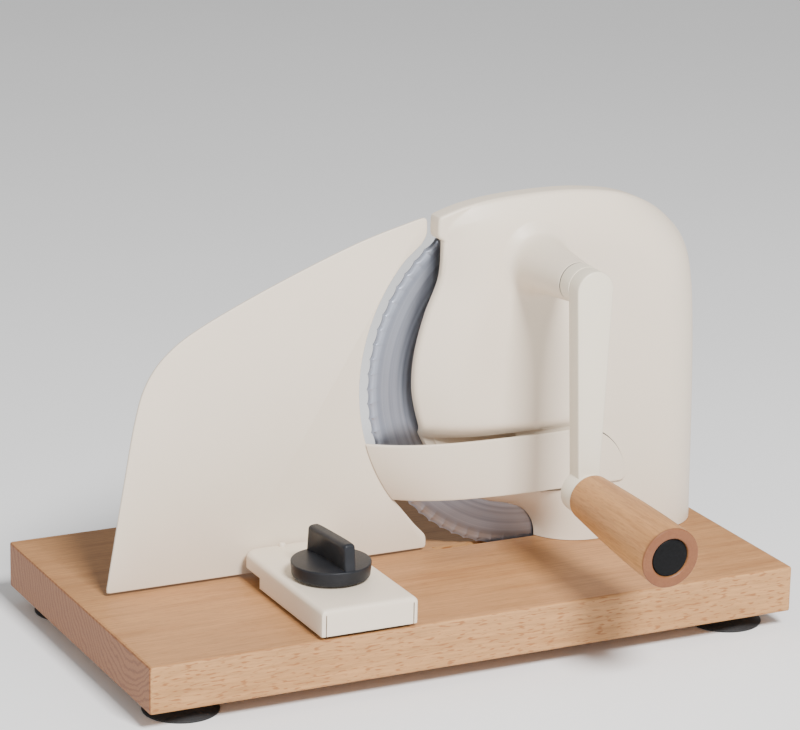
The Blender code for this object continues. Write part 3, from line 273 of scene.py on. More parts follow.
FOOT_INSET = (24.8, 22.9)
UNDERSIDE = -24.0
foot_profile = softened(
    [
        (2.6, -0.3),
        (8, -0.3),
        (9.2, -2.6),
        (15, -5.9),
        (18.9, -8.0),
        (18.6, -9.0),
        (15.6, -9.0),
        (9, -5.7),
        (6, -4.7),
        (2.6, -4.7),
        (2.6, -0.3),
    ],
    0.7,
)
board_length, board_width = (board_high - board_low)[:2] * 1000
foot_places = [
    (x, y)
    for y in (FOOT_INSET[1], board_width - FOOT_INSET[1])
    for x in (FOOT_INSET[0], board_length - FOOT_INSET[0])
]
for number, (x, y) in enumerate(foot_places, 1):
    points = turned(foot_profile, (x, y, UNDERSIDE))
    surface(f"foot_cup_{number}", points, rubber, "base", (f"suction_foot_{number}",))


# Screws, studs, rivets, pins and bushes: turned steel, zinc plated, and brass sleeves.


def plated(name, colour, roughness):
    """Plated or turned metal: fine scratches in its gloss and a faint stain in its colour."""
    made = new_material(name, roughness, 1.0)
    scratches = noise(made, in_place(made, (1, 1, 6)), 700, 4, 0.6)
    stain = noise(made, in_place(made), 60, 3)
    shades = [(0.3, tuple(c * 0.82 for c in colour)), (0.7, colour)]
    feed(made, "Base Color", ramp(made, stain, shades))
    feed(made, "Roughness", ramp(made, scratches, [(0.3, roughness * 0.75), (0.7, roughness * 1.3)]))
    bumped(made, scratches, 0.1, 0.00005)
    return made


zinc = plated("zinc_plate", (0.60, 0.60, 0.61), 0.34)
gear_steel = plated("gear_steel_oiled", (0.36, 0.36, 0.37), 0.4)
brass = plated("sleeve_brass", (0.72, 0.52, 0.24), 0.32)
guide_plastic = new_material("guide_grey_plastic", 0.55)
guide_grain = noise(guide_plastic, in_place(guide_plastic), 1200, 2)
guide_shades = [(0.3, (0.17, 0.17, 0.18)), (0.7, (0.22, 0.22, 0.23))]
feed(guide_plastic, "Base Color", ramp(guide_plastic, guide_grain, guide_shades))
slot_of = {row["node"]: row["material_slot"] for row in frame["record"]["subparts"]}
hardware = {"zinc_steel": zinc, "gear_steel": gear_steel, "brass": brass, "guide_plastic": guide_plastic}
for name, part in frame["nodes"].items():
    if slot_of[name] in hardware:
        part.material_slots[0].material = hardware[slot_of[name]]


# Housing: one thin-walled aluminium casting, powder coated cream. Its face falls back gently towards
# its edges and turns a tight corner into its side walls; a flared boss carries the crank's bearing.


def powder_coat(name, colour, roughness=0.42):
    """Cream powder coat: a faint cloud in its colour and a very fine orange peel."""
    made = new_material(name, roughness)
    cloud = noise(made, in_place(made), 22, 3)
    shades = [(0.3, tuple(c * 0.975 for c in colour)), (0.7, colour)]
    feed(made, "Base Color", ramp(made, cloud, shades))
    peel = noise(made, in_place(made), 1500, 2)
    gloss = noise(made, in_place(made), 300, 3)
    feed(made, "Roughness", ramp(made, gloss, [(0.3, roughness * 0.9), (0.7, roughness * 1.12)]))
    bumped(made, peel, 0.12, 0.00006)
    return made


CREAM = (0.77, 0.665, 0.535)
cream = powder_coat("cream_powder_coat", CREAM)


def arc(centre, radius, start, end, count):
    """Points on a circle between two angles in degrees."""
    angles = np.radians(np.linspace(start, end, count))
    return np.stack([centre[0] + radius * np.cos(angles), centre[1] + radius * np.sin(angles)], 1)


def spaced(line, count, power=1.0):
    """The same line with points at equal distances, or drawn together towards its start by a power."""
    steps = np.linalg.norm(np.diff(line, axis=0), axis=1)
    run = np.concatenate([[0], np.cumsum(steps)])
    wanted = run[-1] * np.linspace(0, 1, count) ** power
    return np.stack([np.interp(wanted, run, line[:, axis]) for axis in range(line.shape[1])], 1)


def curve_through(points, steps=12):
    """A Catmull-Rom curve through the points."""
    points = np.array(points, float)
    ends = np.vstack([2 * points[0] - points[1], points, 2 * points[-1] - points[-2]])
    a, b, c, d = (ends[k : len(ends) - 3 + k, None] for k in range(4))
    t = np.linspace(0, 1, steps, endpoint=False)[None, :, None]
    line = 0.5 * (2 * b + (c - a) * t + (2 * a - 5 * b + 4 * c - d) * t**2 + (3 * b - a - 3 * c + d) * t**3)
    return np.vstack([line.reshape(-1, 2), points[-1:]])


BLADE = np.array([249.5, 89.6])
CRANK = np.array([239.8, 151.4])
FACE_Y, RIM_Y = 75.7, 94.3
EDGE_RADIUS, EDGE_START = 28.4, 1.87
FALL, CORNER, CREASE = 9.2, 1.7, 9.0
WIDE_TOP, WIDE_BLEND = 18, 36
RIGHT_END, RIGHT_BLEND = 330, 45
FLOOR, STEP_Z = 0.3, 165.2

step_curve = [
    (191.3, 164.6),
    (190.6, STEP_Z),
    (189.1, STEP_Z + 0.8),
    (188.3, 168.0),
    (188.3, 175.0),
    (188.9, 177.1),
]
lip = np.vstack(
    [
        [(251.7, FLOOR)],
        arc((233.6, 1.2), 18.2, 2, 80, 24),
        curve_through(
            [
                (236.8, 19.6),
                (222.0, 23.6),
                (208.0, 31.2),
                (197.5, 41.6),
                (188.9, 53.5),
                (182.2, 67.0),
                (178.2, 80.0),
                (176.5, 92.0),
                (177.7, 108.0),
                (182.7, 126.5),
                (189.3, 142.5),
                (191.0, 151.5),
                (191.3, 163.8),
            ]
        ),
        curve_through(step_curve, 6)[:-1],
    ]
)
crown = curve_through(
    [
        (188.9, 177.1),
        (190.4, 177.7),
        (203.5, 181.4),
        (222, 184),
        (247.5, 185.08),
        (270, 184.2),
        (292.7, 180.3),
        (312.6, 171.6),
        (327, 160),
        (335.5, 147),
        (339.5, 130),
        (341.5, 107),
        (342.8, 75),
        (343.6, 40),
        (344.2, FLOOR),
    ]
)


def distance_to(line, x, z):
    """Shortest distance from each point of the arrays to a line of segments."""
    start, step = line[:-1], np.diff(line, axis=0)
    length = (step**2).sum(1)
    best = np.full(x.shape, np.inf)
    for (px, pz), (dx, dz), square in zip(start, step, length):
        t = np.clip(((x - px) * dx + (z - pz) * dz) / square, 0, 1)
        best = np.minimum(best, np.hypot(x - px - t * dx, z - pz - t * dz))
    return best


def smooth_step(share):
    """A rise from 0 to 1 that starts and ends level: three squares less two cubes of the share."""
    share = np.clip(share, 0, 1)
    return share**2 * (3 - 2 * share)


def rolled_edge(from_lip, from_crown, x, z):
    """Depth of the casting's outside behind its face, by distance in from its two sides and by place.

    At the right and near the board the edge is part of a wide circle. Elsewhere it is a parabola FALL
    deep, ending in a tight quarter circle before the side wall. Smooth steps above WIDE_TOP and left of
    RIGHT_END blend the two. The parabola follows the smooth minimum of both distances, so that the face
    has no crease.
    """
    inset = np.minimum(from_lip, from_crown)
    reach = np.clip(EDGE_RADIUS - (inset + EDGE_START), 0, EDGE_RADIUS)
    wide = EDGE_RADIUS - np.sqrt(EDGE_RADIUS**2 - reach**2)
    joined = -CREASE * np.log(np.exp(-from_lip / CREASE) + np.exp(-from_crown / CREASE))
    gentle = FALL * np.clip(1 - joined / EDGE_RADIUS, 0, 1) ** 2
    gentle += CORNER - np.sqrt(CORNER**2 - np.clip(CORNER - inset, 0, CORNER) ** 2)
    share = smooth_step((z - WIDE_TOP) / WIDE_BLEND) * smooth_step((RIGHT_END - x) / RIGHT_BLEND)
    return (1 - share) * wide + share * gentle


BAND_TOP, BAND_BOTTOM, BAND_SHEET = 61.5, 30.8, 1.6
BAND_END_X, BAND_END_Z = 265.0, 33.0
BAND_FACE, BAND_CURL, CURL_LENGTH = 75.9, 19.2, 22.5
SCOOP_DEPTH, SCOOP_WIDTH, SCOOP_END = 8, 5.2, 270
PLATE_ARC = 98.6


def band_left(z):
    """The deflector's left end: a circle round the blade's centre, a hair inside the stop plate's arc."""
    return BLADE[0] - np.sqrt((PLATE_ARC - 0.4) ** 2 - (z - BLADE[1]) ** 2)


def band_depth(x, z):
    """The deflector's depth: the face's, plus a curl that dies away exponentially from its left end."""
    return BAND_FACE + BAND_CURL * np.exp(-np.maximum(x - band_left(z), -2) / CURL_LENGTH)


def scoop(x, z):
    """The hollow above the deflector that lets it stand out.

    It is a bell curve of the height above the deflector, shallower and narrower to the right, and a
    logistic curve ends it at SCOOP_END.
    """
    rise = np.maximum(z - BAND_TOP, 0)
    fade = 1 / (1 + np.exp((x - SCOOP_END) / 5))
    along = np.clip((x - 180) / 90, 0, 1)
    bell = np.exp(-((rise / (SCOOP_WIDTH - 2.4 * along)) ** 2))
    return (SCOOP_DEPTH - 4.5 * along) * bell * fade * (z > BAND_BOTTOM - 1)


LIP_POINTS, CROWN_POINTS, FOOT_POINTS = 190, 200, 60
foot_line = np.array([crown[-1], lip[0]])
outline = np.vstack(
    [spaced(lip, LIP_POINTS), spaced(crown, CROWN_POINTS)[1:], spaced(foot_line, FOOT_POINTS)[1:-1]]
)
BOSS_FOOT, BORE, BOSS_END = 21.0, 7.4, 36.05
spokes = outline - CRANK
headings = np.unwrap(np.arctan2(spokes[:, 1], spokes[:, 0]))
full_turn = math.copysign(2 * math.pi, headings[-1] - headings[0])
even_headings = headings[0] + np.linspace(0, full_turn, len(headings), endpoint=False)
headings = 0.6 * headings + 0.4 * even_headings
unit = np.stack([np.cos(headings), np.sin(headings)], 1)
boss_circle = CRANK + BOSS_FOOT * unit
inward = np.linspace(0, 1, 84) ** 1.35
face = outline[None] + inward[:, None, None] * (boss_circle - outline)[None]
from_lip, from_crown = (distance_to(line, face[..., 0], face[..., 1]) for line in (lip, crown))
inset = np.minimum(from_lip, from_crown)
face_x, face_z = face[..., 0], face[..., 1]
depth = FACE_Y + rolled_edge(from_lip, from_crown, face_x, face_z) + scoop(face_x, face_z)
depth = np.minimum(depth, RIM_Y - 0.6)
WALL, LIP_WALL = 2.8, 2.0
open_lip = (np.arange(len(outline)) < LIP_POINTS) & (outline[:, 1] < STEP_Z)
rim_depth = np.where(open_lip, np.minimum(depth[0] + LIP_WALL, RIM_Y), RIM_Y)
back_depth = np.where((inset < WALL) & ~open_lip, RIM_Y, np.minimum(depth + WALL, RIM_Y))
back_depth[0] = rim_depth
boss_profile = np.array(
    [
        (18.2, 75.45),
        (16.2, 74.4),
        (14.9, 72.6),
        (14.1, 70.2),
        (13.5, 67.0),
        (12.9, 62.0),
        (12.1, 55),
        (11.2, 46),
        (10.35, 37.2),
        (10.2, 36.25),
        (10.0, BOSS_END),
    ]
)
boss_rows = CRANK + boss_profile[:, None, :1] * unit[None]
boss_depth = np.broadcast_to(boss_profile[:, 1:], (len(boss_profile), len(outline)))
bore_rows = np.broadcast_to(CRANK + BORE * unit, (2, len(outline), 2))
bore_depth = np.stack([np.full(len(outline), BOSS_END), np.full(len(outline), FACE_Y + WALL)])
plan = np.vstack([face, boss_rows, bore_rows, face[::-1], face[:1]])
depth = np.vstack([depth, boss_depth, bore_depth, back_depth[::-1], depth[:1]])
casting_points = placed(plan[..., 0], depth, plan[..., 1])


def applied(piece, thickness=0.0, bevel=0.0, cutters=(), segments=3):
    """Give the piece its wall, cut its openings and round its edges, and keep the result as its mesh."""
    if thickness:
        wall = piece.modifiers.new("wall", "SOLIDIFY")
        wall.thickness = thickness * 0.001
        wall.offset = -1
    for cutter in cutters:
        cut = piece.modifiers.new("cut", "BOOLEAN")
        cut.operation = "DIFFERENCE"
        cut.solver = "MANIFOLD"
        cut.object = cutter
    if bevel:
        rounding = piece.modifiers.new("rounding", "BEVEL")
        rounding.width = bevel * 0.001
        rounding.segments = segments
        rounding.limit_method = "ANGLE"
        rounding.angle_limit = math.radians(40)
    bpy.context.view_layer.update()
    seen = piece.evaluated_get(bpy.context.evaluated_depsgraph_get())
    mesh = bpy.data.meshes.new_from_object(seen)
    piece.modifiers.clear()
    piece.data = mesh
    for cutter in cutters:
        bpy.data.objects.remove(cutter, do_unlink=True)


def cutter_of(points):
    """A closed shape to cut with, from a grid of points."""
    cutter = bpy.data.objects.new("cutter", grid_mesh("cutter", points, capped=True, merge=1e-6))
    bpy.context.scene.collection.objects.link(cutter)
    return cutter


BAND_CORNER = 2.6
POCKET_FRONT, POCKET_GAP, POCKET_BED = 60.0, 0.55, 2.1


def band_outline(margin):
    """The deflector's outline from the front: left end up, top, rounded right end, bottom."""
    z = np.linspace(BAND_BOTTOM - margin, BAND_TOP + margin, 14)
    left = np.stack([band_left(z) - margin, z], 1)
    reach = BAND_TOP - BAND_END_Z + margin
    right = arc((BAND_END_X, BAND_END_Z), reach, 90, 4, 24)
    corner_place = (BAND_END_X + reach - 3, BAND_BOTTOM - margin + BAND_CORNER)
    corner = arc(corner_place, BAND_CORNER, 0, -90, 6)
    return np.vstack([left, right, corner])


# The recess behind the deflector: its outline carried from in front of the face to its bed.
pocket_x, pocket_z = band_outline(POCKET_GAP).T
pocket_bed = band_depth(pocket_x, pocket_z) + POCKET_BED
pocket_rows = np.stack([placed(pocket_x, y, pocket_z) for y in (POCKET_FRONT, pocket_bed)])

casting = surface(
    "housing_casting", casting_points, cream, "base", ("housing_shell",), sharp=32
)
applied(casting, cutters=[cutter_of(pocket_rows)])
casting.data.set_sharp_from_angle(angle=math.radians(32))


# Slice deflector: a curled band of sheet, coated like the casting, let into its face with a hairline
# seam and screwed on from behind. A thin black strip in the rubber material inside its rounded right
# end is painted shade for the seam there.

deflector_z = np.linspace(BAND_BOTTOM, BAND_TOP, 30)[:, None]
reach = BAND_TOP - BAND_END_Z
rise = np.clip((deflector_z - BAND_END_Z) / reach, 0, 1)
corner_drop = np.clip((BAND_BOTTOM + BAND_CORNER - deflector_z) / BAND_CORNER, 0, 1)
right_end = BAND_END_X + reach * np.sqrt(1 - rise**2 * 0.9995)
right_end -= BAND_CORNER * (1 - np.sqrt(1 - corner_drop**2 * 0.999))
left_end = band_left(deflector_z)
share = np.linspace(0, 1, 120)[None] ** 1.3
deflector_x = left_end + (right_end - left_end) * share
deflector_z = np.broadcast_to(deflector_z, deflector_x.shape)
deflector_points = placed(deflector_x, band_depth(deflector_x, deflector_z), deflector_z)
deflector = surface(
    "deflector_band", deflector_points, cream, "base", ("slice_deflector",), around=False
)
applied(deflector, thickness=BAND_SHEET, bevel=0.25, segments=2)

# Painted shade: a thin black strip sunk just behind the deflector's right end, so that the seam reads dark.
SHADE_STRIP_START_X, SHADE_STRIP_SINK, SHADE_STRIP_SHEET = 262, 0.45, 0.5
shade_strip_rows = []
for margin in (0.04, 0.5):
    side = band_outline(margin)
    side_x, side_z = spaced(side[side[:, 0] > SHADE_STRIP_START_X][2:], 60).T
    shade_strip_rows.append(placed(side_x, band_depth(side_x, side_z) + SHADE_STRIP_SINK, side_z))
seam_shade_strip = surface("deflector_seam_shade", np.stack(shade_strip_rows), rubber, "base", around=False)
applied(seam_shade_strip, thickness=SHADE_STRIP_SHEET)


# Blade: a hardened stainless disc, ground with concentric rings, with small hollow scallops bevelled
# into its rim. It is held by a flange in front and a clamp disc and one screw behind.

steel = new_material("ground_blade_steel", 0.28, 1.0)
BLADE_CENTRE = placed(BLADE[0], 94.9, BLADE[1])
blade_place = in_place(steel, (1, 0, 1), BLADE_CENTRE)
blade_reach = node(steel, "VectorMath", {0: blade_place}, operation="LENGTH").outputs["Value"]
ring_line = node(steel, "CombineXYZ", {"X": blade_reach})
fine_rings = noise(steel, ring_line.outputs[0], 2600, 3, 0.7)
broad_rings = noise(steel, ring_line.outputs[0], 190, 3, 0.6)
STEEL_SHADES = [(0.32, (0.24, 0.265, 0.33)), (0.5, (0.40, 0.43, 0.51)), (0.68, (0.55, 0.585, 0.68))]
steel_colour = ramp(steel, broad_rings, STEEL_SHADES)
fine_shades = ramp(steel, fine_rings, [(0.3, 0.78), (0.7, 1.0)])
steel_colour = blended(steel, steel_colour, fine_shades, 0.7, "MULTIPLY")
feed(steel, "Base Color", steel_colour)
feed(steel, "Roughness", ramp(steel, broad_rings, [(0.3, 0.36), (0.7, 0.5)]))
bumped(steel, fine_rings, 0.35, 0.00004)

TEETH, TIP_RADIUS, SCALLOP = 76, 94.1, 0.85
BLADE_BORE, BLADE_MIDDLE, HALF_SHEET = 5.4, 95.5, 0.6
GRIND_START, GRIND_DEPTH = 58, 0.42
per_tooth = 12
blade_angles = np.linspace(0, 2 * np.pi, TEETH * per_tooth, endpoint=False)
phase = (np.arange(TEETH * per_tooth) % per_tooth) / per_tooth
wave = (4 * phase * (1 - phase)) ** 0.75
rim = TIP_RADIUS - SCALLOP * wave
bevel_width = 2.0 + 0.8 * wave


def blade_side(front):
    """Rows from the bore out to the rim: a flat hub, a shallow hollow grind, then the scallops' bevel.

    The hollow is a power curve of the radius past GRIND_START, eased off near the rim, and the bevel
    is a quarter of a sine wave.
    """
    sign = 1 if front else -1
    radii = np.concatenate([[BLADE_BORE], np.linspace(18, 62, 10), np.linspace(63, 87, 26)])
    rows = []
    for radius in radii:
        eased = 1 - 0.45 * np.clip((radius - 78) / 9, 0, 1)
        hollow = GRIND_DEPTH * np.clip((radius - GRIND_START) / 14, 0, 1) ** 1.5 * eased
        half_sheet = HALF_SHEET - hollow * (0.7 if front else 0.15)
        rows.append((np.full_like(rim, radius), np.full_like(rim, half_sheet)))
    inner = rim - bevel_width
    thick = rows[-1][1]
    rows.append((inner, thick))
    for step in (0.25, 0.5, 0.75, 1.0):
        cut = (0.55 if front else 0.1) * np.sin(step * np.pi / 2)
        rows.append((inner + bevel_width * step, np.maximum(thick - cut, 0.04 if front else 0.0)))
    radius = np.stack([row[0] for row in rows])
    out = np.stack([row[1] for row in rows])
    x = BLADE[0] + radius * np.cos(blade_angles)
    z = BLADE[1] + radius * np.sin(blade_angles)
    return placed(x, BLADE_MIDDLE - sign * out, z)


blade_points = np.concatenate([blade_side(True), blade_side(False)[::-1], blade_side(True)[:1]])
surface("scalloped_blade", blade_points, steel, "blade", ("slicing_blade",), sharp=24)

disc_profile = softened([(4.2, 96.4), (17, 96.4), (17, 96.9), (15.6, 98.0), (4.2, 98.0), (4.2, 96.4)], 0.4)
disc_points = turned(disc_profile, (BLADE[0], 0, BLADE[1]), (0, 1, 0), 96)
surface("blade_clamp_plate", disc_points, zinc, "blade", ("blade_clamp_disc",))


# Crank: a cast arm with a turned hub, coated cream and held on its shaft by a grub screw. An eye at
# its lower end takes the grip's pin, and a thin black ring behind its hub is painted shade for the
# seam between hub and boss.

arm_cream = powder_coat("crank_powder_coat", (0.78, 0.70, 0.56), 0.4)
ARM_FRONT, ARM_BACK, ARM_LENGTH = 17.0, 27.0, 104.5
ARM_TOP, ARM_END = 9.9, 5.6


def arm_ring(inset):
    """The arm's outline pulled in by inset: two half rounds joined by straight tapering sides."""
    top = arc(CRANK, ARM_TOP - inset, 0, 180, 40)
    end = arc(CRANK - (0, ARM_LENGTH), ARM_END - inset, 180, 360, 24)
    return np.vstack([top, end])


def edge_rows(front, back, radius, ring, steps=5):
    """A plate's rows, front to back: its rounded front edge, its side and its rounded back edge."""
    angles = np.linspace(0, np.pi / 2, steps)
    rows = [(ring(radius * (1 - math.sin(a))), front + radius * (1 - math.cos(a))) for a in angles]
    rows += [(ring(radius * (1 - math.cos(a))), back - radius * (1 - math.sin(a))) for a in angles]
    return np.stack([placed(points[:, 0], y, points[:, 1]) for points, y in rows])


arm_points = edge_rows(ARM_FRONT, ARM_BACK, 0.9, arm_ring)
surface("crank_arm_bar", arm_points, arm_cream, "crank", ("crank_arm",), capped=True)

HUB_PLACE = (CRANK[0], 0, CRANK[1])
hub_profile = softened([(5.4, 26.5), (10.1, 26.5), (10.1, 35.2), (5.4, 35.2), (5.4, 26.5)], 0.25)
surface("crank_hub", turned(hub_profile, HUB_PLACE, (0, 1, 0), 96), arm_cream, "crank")
# Painted shade: a thin black ring in the rubber material fills the gap behind the hub, so that the seam
# reads dark.
seam_shade_profile = [(5.4, 35.3), (9.95, 35.3), (9.95, 35.95), (5.4, 35.95), (5.4, 35.3)]
surface("hub_seam_shade_ring", turned(seam_shade_profile, HUB_PLACE, (0, 1, 0), 72), rubber, "crank")

GRIP_TILT = math.radians(4.3)
GRIP_AXIS = (0, -math.cos(GRIP_TILT), -math.sin(GRIP_TILT))
GRIP_FOOT = (CRANK[0], ARM_FRONT, CRANK[1] - ARM_LENGTH)
eye_profile = softened([(3.4, 1.4), (11.1, 1.4), (11.1, -9.0), (3.4, -9.0), (3.4, 1.4)], 0.6)
surface("grip_eye", turned(eye_profile, GRIP_FOOT, GRIP_AXIS, 96), arm_cream, "crank")


# Grip: beech turned to a gentle swell, free to spin on the crank's pin, with a black plug over its nut.

grip_wood, grip_colour, grip_flecked, grip_pores = beech(
    "grip_beech", (0.50, 0.245, 0.088), (0.39, 0.175, 0.058), (0.27, 0.10, 0.03), 1, placed(*GRIP_FOOT)
)
grip_colour = blended(grip_wood, grip_colour, grip_flecked, 0.4)
grip_reach = node(
    grip_wood,
    "VectorMath",
    {0: in_place(grip_wood, (1, 1, 1), placed(*GRIP_FOOT)), 1: GRIP_AXIS},
    operation="DOT_PRODUCT",
).outputs["Value"]
GRIP_END_GRAIN = (0.15, 0.042, 0.014, 1)
on_end = ramp(grip_wood, math_of(grip_wood, "MULTIPLY", grip_reach, 12.0), [(0.945, 0.0), (0.96, 1.0)])
end_share = math_of(grip_wood, "MULTIPLY", on_end, 0.85)
grip_colour = blended(grip_wood, grip_colour, GRIP_END_GRAIN, end_share)
feed(grip_wood, "Base Color", grip_colour)
bumped(grip_wood, grip_pores, 0.25, 0.0002)

GRIP_START, GRIP_LENGTH, GRIP_ROOT, GRIP_SWELL = 1.8, 78.65, 11.8, 15.1
GRIP_BORE, GRIP_SOCKET, PLUG = 3.3, 11, 9.4
grip_top = GRIP_START + GRIP_LENGTH
along_grip = np.linspace(0.985, 0.015, 26)
swell = GRIP_ROOT + (GRIP_SWELL - GRIP_ROOT) * np.sin(along_grip * np.pi / 2)
grip_side = np.stack([swell, GRIP_START + along_grip * GRIP_LENGTH], 1)
socket_floor = (GRIP_BORE, grip_top - GRIP_SOCKET)
socket_wall = [(PLUG + 0.3, grip_top - GRIP_SOCKET), (PLUG + 0.3, grip_top)]
grip_profile = np.vstack(
    [
        softened([socket_floor, *socket_wall, (GRIP_SWELL, grip_top), grip_side[0]], 1.3, 6),
        grip_side[1:-1],
        softened([grip_side[-1], (GRIP_ROOT, GRIP_START), (GRIP_BORE, GRIP_START), socket_floor], 1.3, 6),
    ]
)
grip_points = turned(grip_profile, GRIP_FOOT, GRIP_AXIS, 96)
surface("turned_grip", grip_points, grip_wood, "grip", ("handle_grip",), sharp=50)

black = new_material("black_moulding", 0.45)
black_grain = noise(black, in_place(black), 2200, 3, 0.6)
black_cloud = noise(black, in_place(black), 120, 3)
black_shades = [(0.3, (0.0095, 0.0105, 0.0135)), (0.7, (0.016, 0.0175, 0.022))]
feed(black, "Base Color", ramp(black, black_cloud, black_shades))
feed(black, "Roughness", ramp(black, black_grain, [(0.3, 0.34), (0.7, 0.5)]))
bumped(black, black_grain, 0.35, 0.0001)
black.node_tree.nodes["Principled BSDF"].inputs["Specular IOR Level"].default_value = 0.28

PLUG_SHEET = 3.4
plug_top = grip_top - 0.5
plug_back = plug_top - PLUG_SHEET
plug_profile = softened([(0, plug_top), (PLUG, plug_top), (PLUG, plug_back), (0, plug_back)], 0.8)
plug_black = new_material("plug_black", 0.5)
plug_black.node_tree.nodes["Principled BSDF"].inputs["Specular IOR Level"].default_value = 0.12
plug_cloud = noise(plug_black, in_place(plug_black), 900, 2)
plug_shades = [(0.3, (0.0025, 0.0026, 0.003)), (0.7, (0.005, 0.0052, 0.006))]
feed(plug_black, "Base Color", ramp(plug_black, plug_cloud, plug_shades))
plug_points = turned(plug_profile, GRIP_FOOT, GRIP_AXIS, 72)
surface("grip_plug", plug_points, plug_black, "grip", ("grip_end_plug",))


# Stop plate: sheet steel, coated cream, with a long curved back edge and an arc that clears the blade.
# It slides with its bracket to set the slice's thickness.

PLATE_FRONT, PLATE_SHEET = 94.6, 1.7
plate_back = curve_through(
    [
        (16.1, 5.0),
        (24.7, 53.9),
        (31, 87.9),
        (37.2, 106.6),
        (48.6, 120.6),
        (67.4, 132.4),
        (105.6, 149.3),
        (148.7, 165.5),
        (183.2, 175),
    ],
    10,
)


def plate_ring(inset):
    """The plate's outline, its corners eased, pulled in by inset towards its middle."""
    corners = [
        softened([plate_back[-2], (186.6, 175.6), (186.9, 166.4), (184.0, 161.8)], 2.6, 5)[1:],
        arc(BLADE, PLATE_ARC, 139, 220.5, 70),
        softened([(175.6, 23.0), (184.6, 13.4), (189.7, 8.2), (189.7, 1.6), (186, 1.6)], 2.4, 5)[1:],
        softened([(20, 1.6), (15.5, 1.6), (16.1, 5.0)], 2.2, 5)[1:-1],
    ]
    loop = spaced(np.vstack([plate_back[:-1], *corners, plate_back[:1]]), 420)[:-1]
    tangent = np.roll(loop, -1, 0) - np.roll(loop, 1, 0)
    tangent /= np.linalg.norm(tangent, axis=1)[:, None]
    return loop + inset * np.stack([tangent[:, 1], -tangent[:, 0]], 1)


plate_points = edge_rows(PLATE_FRONT, PLATE_FRONT + PLATE_SHEET, 0.6, plate_ring, 4)
surface("stop_plate_sheet", plate_points, cream, "fence_unit", ("stop_plate",), capped=True)


# Bracket: one sheet folded down all round over the guide block, slit at its front corners, and riveted
# to the stop plate behind, with a small weld bead on top. A slot in its top rides on the clamp's stud.

BRACKET_LOW, BRACKET_HIGH = (87.2, -0.9), (138.0, 94.3)
BRACKET_TOP, BRACKET_FOOT, FOLD = 15.3, 1.9, 2.8
BRACKET_SHEET, BRACKET_POINTS = 1.5, 239
TIGHT_CORNER, WIDE_CORNER = 1.2, 7.5


def bracket_ring(inset):
    """The bracket's plan pulled in by inset: three tight corners and a wide one at the rear left."""
    (left, front), (right, rear) = BRACKET_LOW, BRACKET_HIGH
    corners = [
        (right, rear, TIGHT_CORNER, -1, -1),
        (left, rear, WIDE_CORNER, 1, -1),
        (left, front, TIGHT_CORNER, 1, 1),
        (right, front, TIGHT_CORNER, -1, 1),
    ]
    turns = []
    for k, (x, y, radius, to_right, to_rear) in enumerate(corners):
        rounded = max(radius - inset, 0.05)
        reach = inset + rounded
        turns.append(arc((x + to_right * reach, y + to_rear * reach), rounded, 90 * k, 90 * k + 90, 10))
    return spaced(np.vstack([*turns, turns[0][:1]]), BRACKET_POINTS + 1)[:-1]


KNOB = np.array([111.2, 41.0])
SLOT_TRAVEL, SLOT_RADIUS, SLOT_MIDDLE = 15.5, 3.5, 7


def heading_of(line):
    """The direction of each point, in radians, seen from the middle of the slot."""
    return np.arctan2(line[:, 1] - KNOB[1] - SLOT_MIDDLE, line[:, 0] - KNOB[0])


slot_ends = [arc(KNOB + (0, SLOT_TRAVEL), SLOT_RADIUS, 0, 180, 20), arc(KNOB, SLOT_RADIUS, 180, 360, 20)]
slot_closed = spaced(np.vstack([*slot_ends, slot_ends[0][:1]]), 600)
bracket_rows = [(bracket_ring(0), z) for z in np.linspace(BRACKET_FOOT, BRACKET_TOP - FOLD, 6)]
for angle in np.linspace(0, np.pi / 2, 7)[1:]:
    fold_ring = bracket_ring(FOLD * (1 - math.cos(angle)))
    bracket_rows.append((fold_ring, BRACKET_TOP - FOLD * (1 - math.sin(angle))))
top_ring = bracket_rows[-1][0]

# Each point of the top's edge is joined to the point of the slot's edge that lies in its direction.
order = np.argsort(heading_of(slot_closed))
slot_headings = heading_of(slot_closed)[order]
top_headings = heading_of(top_ring)
slot_matched = np.stack(
    [np.interp(top_headings, slot_headings, side, period=2 * np.pi) for side in slot_closed[order].T], 1
)
bracket_rows += [(top_ring + t * (slot_matched - top_ring), BRACKET_TOP) for t in (0.3, 0.7, 1.0)]
bracket_points = np.stack([placed(ring[:, 0], ring[:, 1], z) for ring, z in bracket_rows])
bracket = surface("folded_bracket", bracket_points, cream, "fence_unit", ("slide_bracket",))


def block(low, high):
    """A box to cut with, as two rows of four points."""
    corners = [(low[0], low[1]), (high[0], low[1]), (high[0], high[1]), (low[0], high[1])]
    x, y = np.array(corners).T
    return cutter_of(np.stack([placed(x, y, low[2]), placed(x, y, high[2])]))


SLIT, FLANGE_END, EAR_FOOT = 0.55, 72.0, 7.4
applied(bracket, thickness=BRACKET_SHEET)
slit_places = (BRACKET_LOW[0] + 2.3, BRACKET_HIGH[0] - 2.3)
slits = [block((x - SLIT / 2, -3, 1), (x + SLIT / 2, 1.4, 12.6)) for x in slit_places]
rear_cut = block((80, FLANGE_END, 1), (96, 97, EAR_FOOT))
applied(bracket, bevel=0.3, segments=2, cutters=[*slits, rear_cut])

WELD_PLACE = (107.5, 90.4, BRACKET_TOP)
weld_profile = softened([(0, 1.9), (1.6, 1.7), (2.1, -0.6), (0, -1.0)], 0.9)
surface("bracket_weld", turned(weld_profile, WELD_PLACE, columns=24), cream, "fence_unit")


# Clamp knob: black moulded plastic, a disc with a finger wing hollowed on both sides. A brass insert
# screws it down the stud to lock the stop plate.

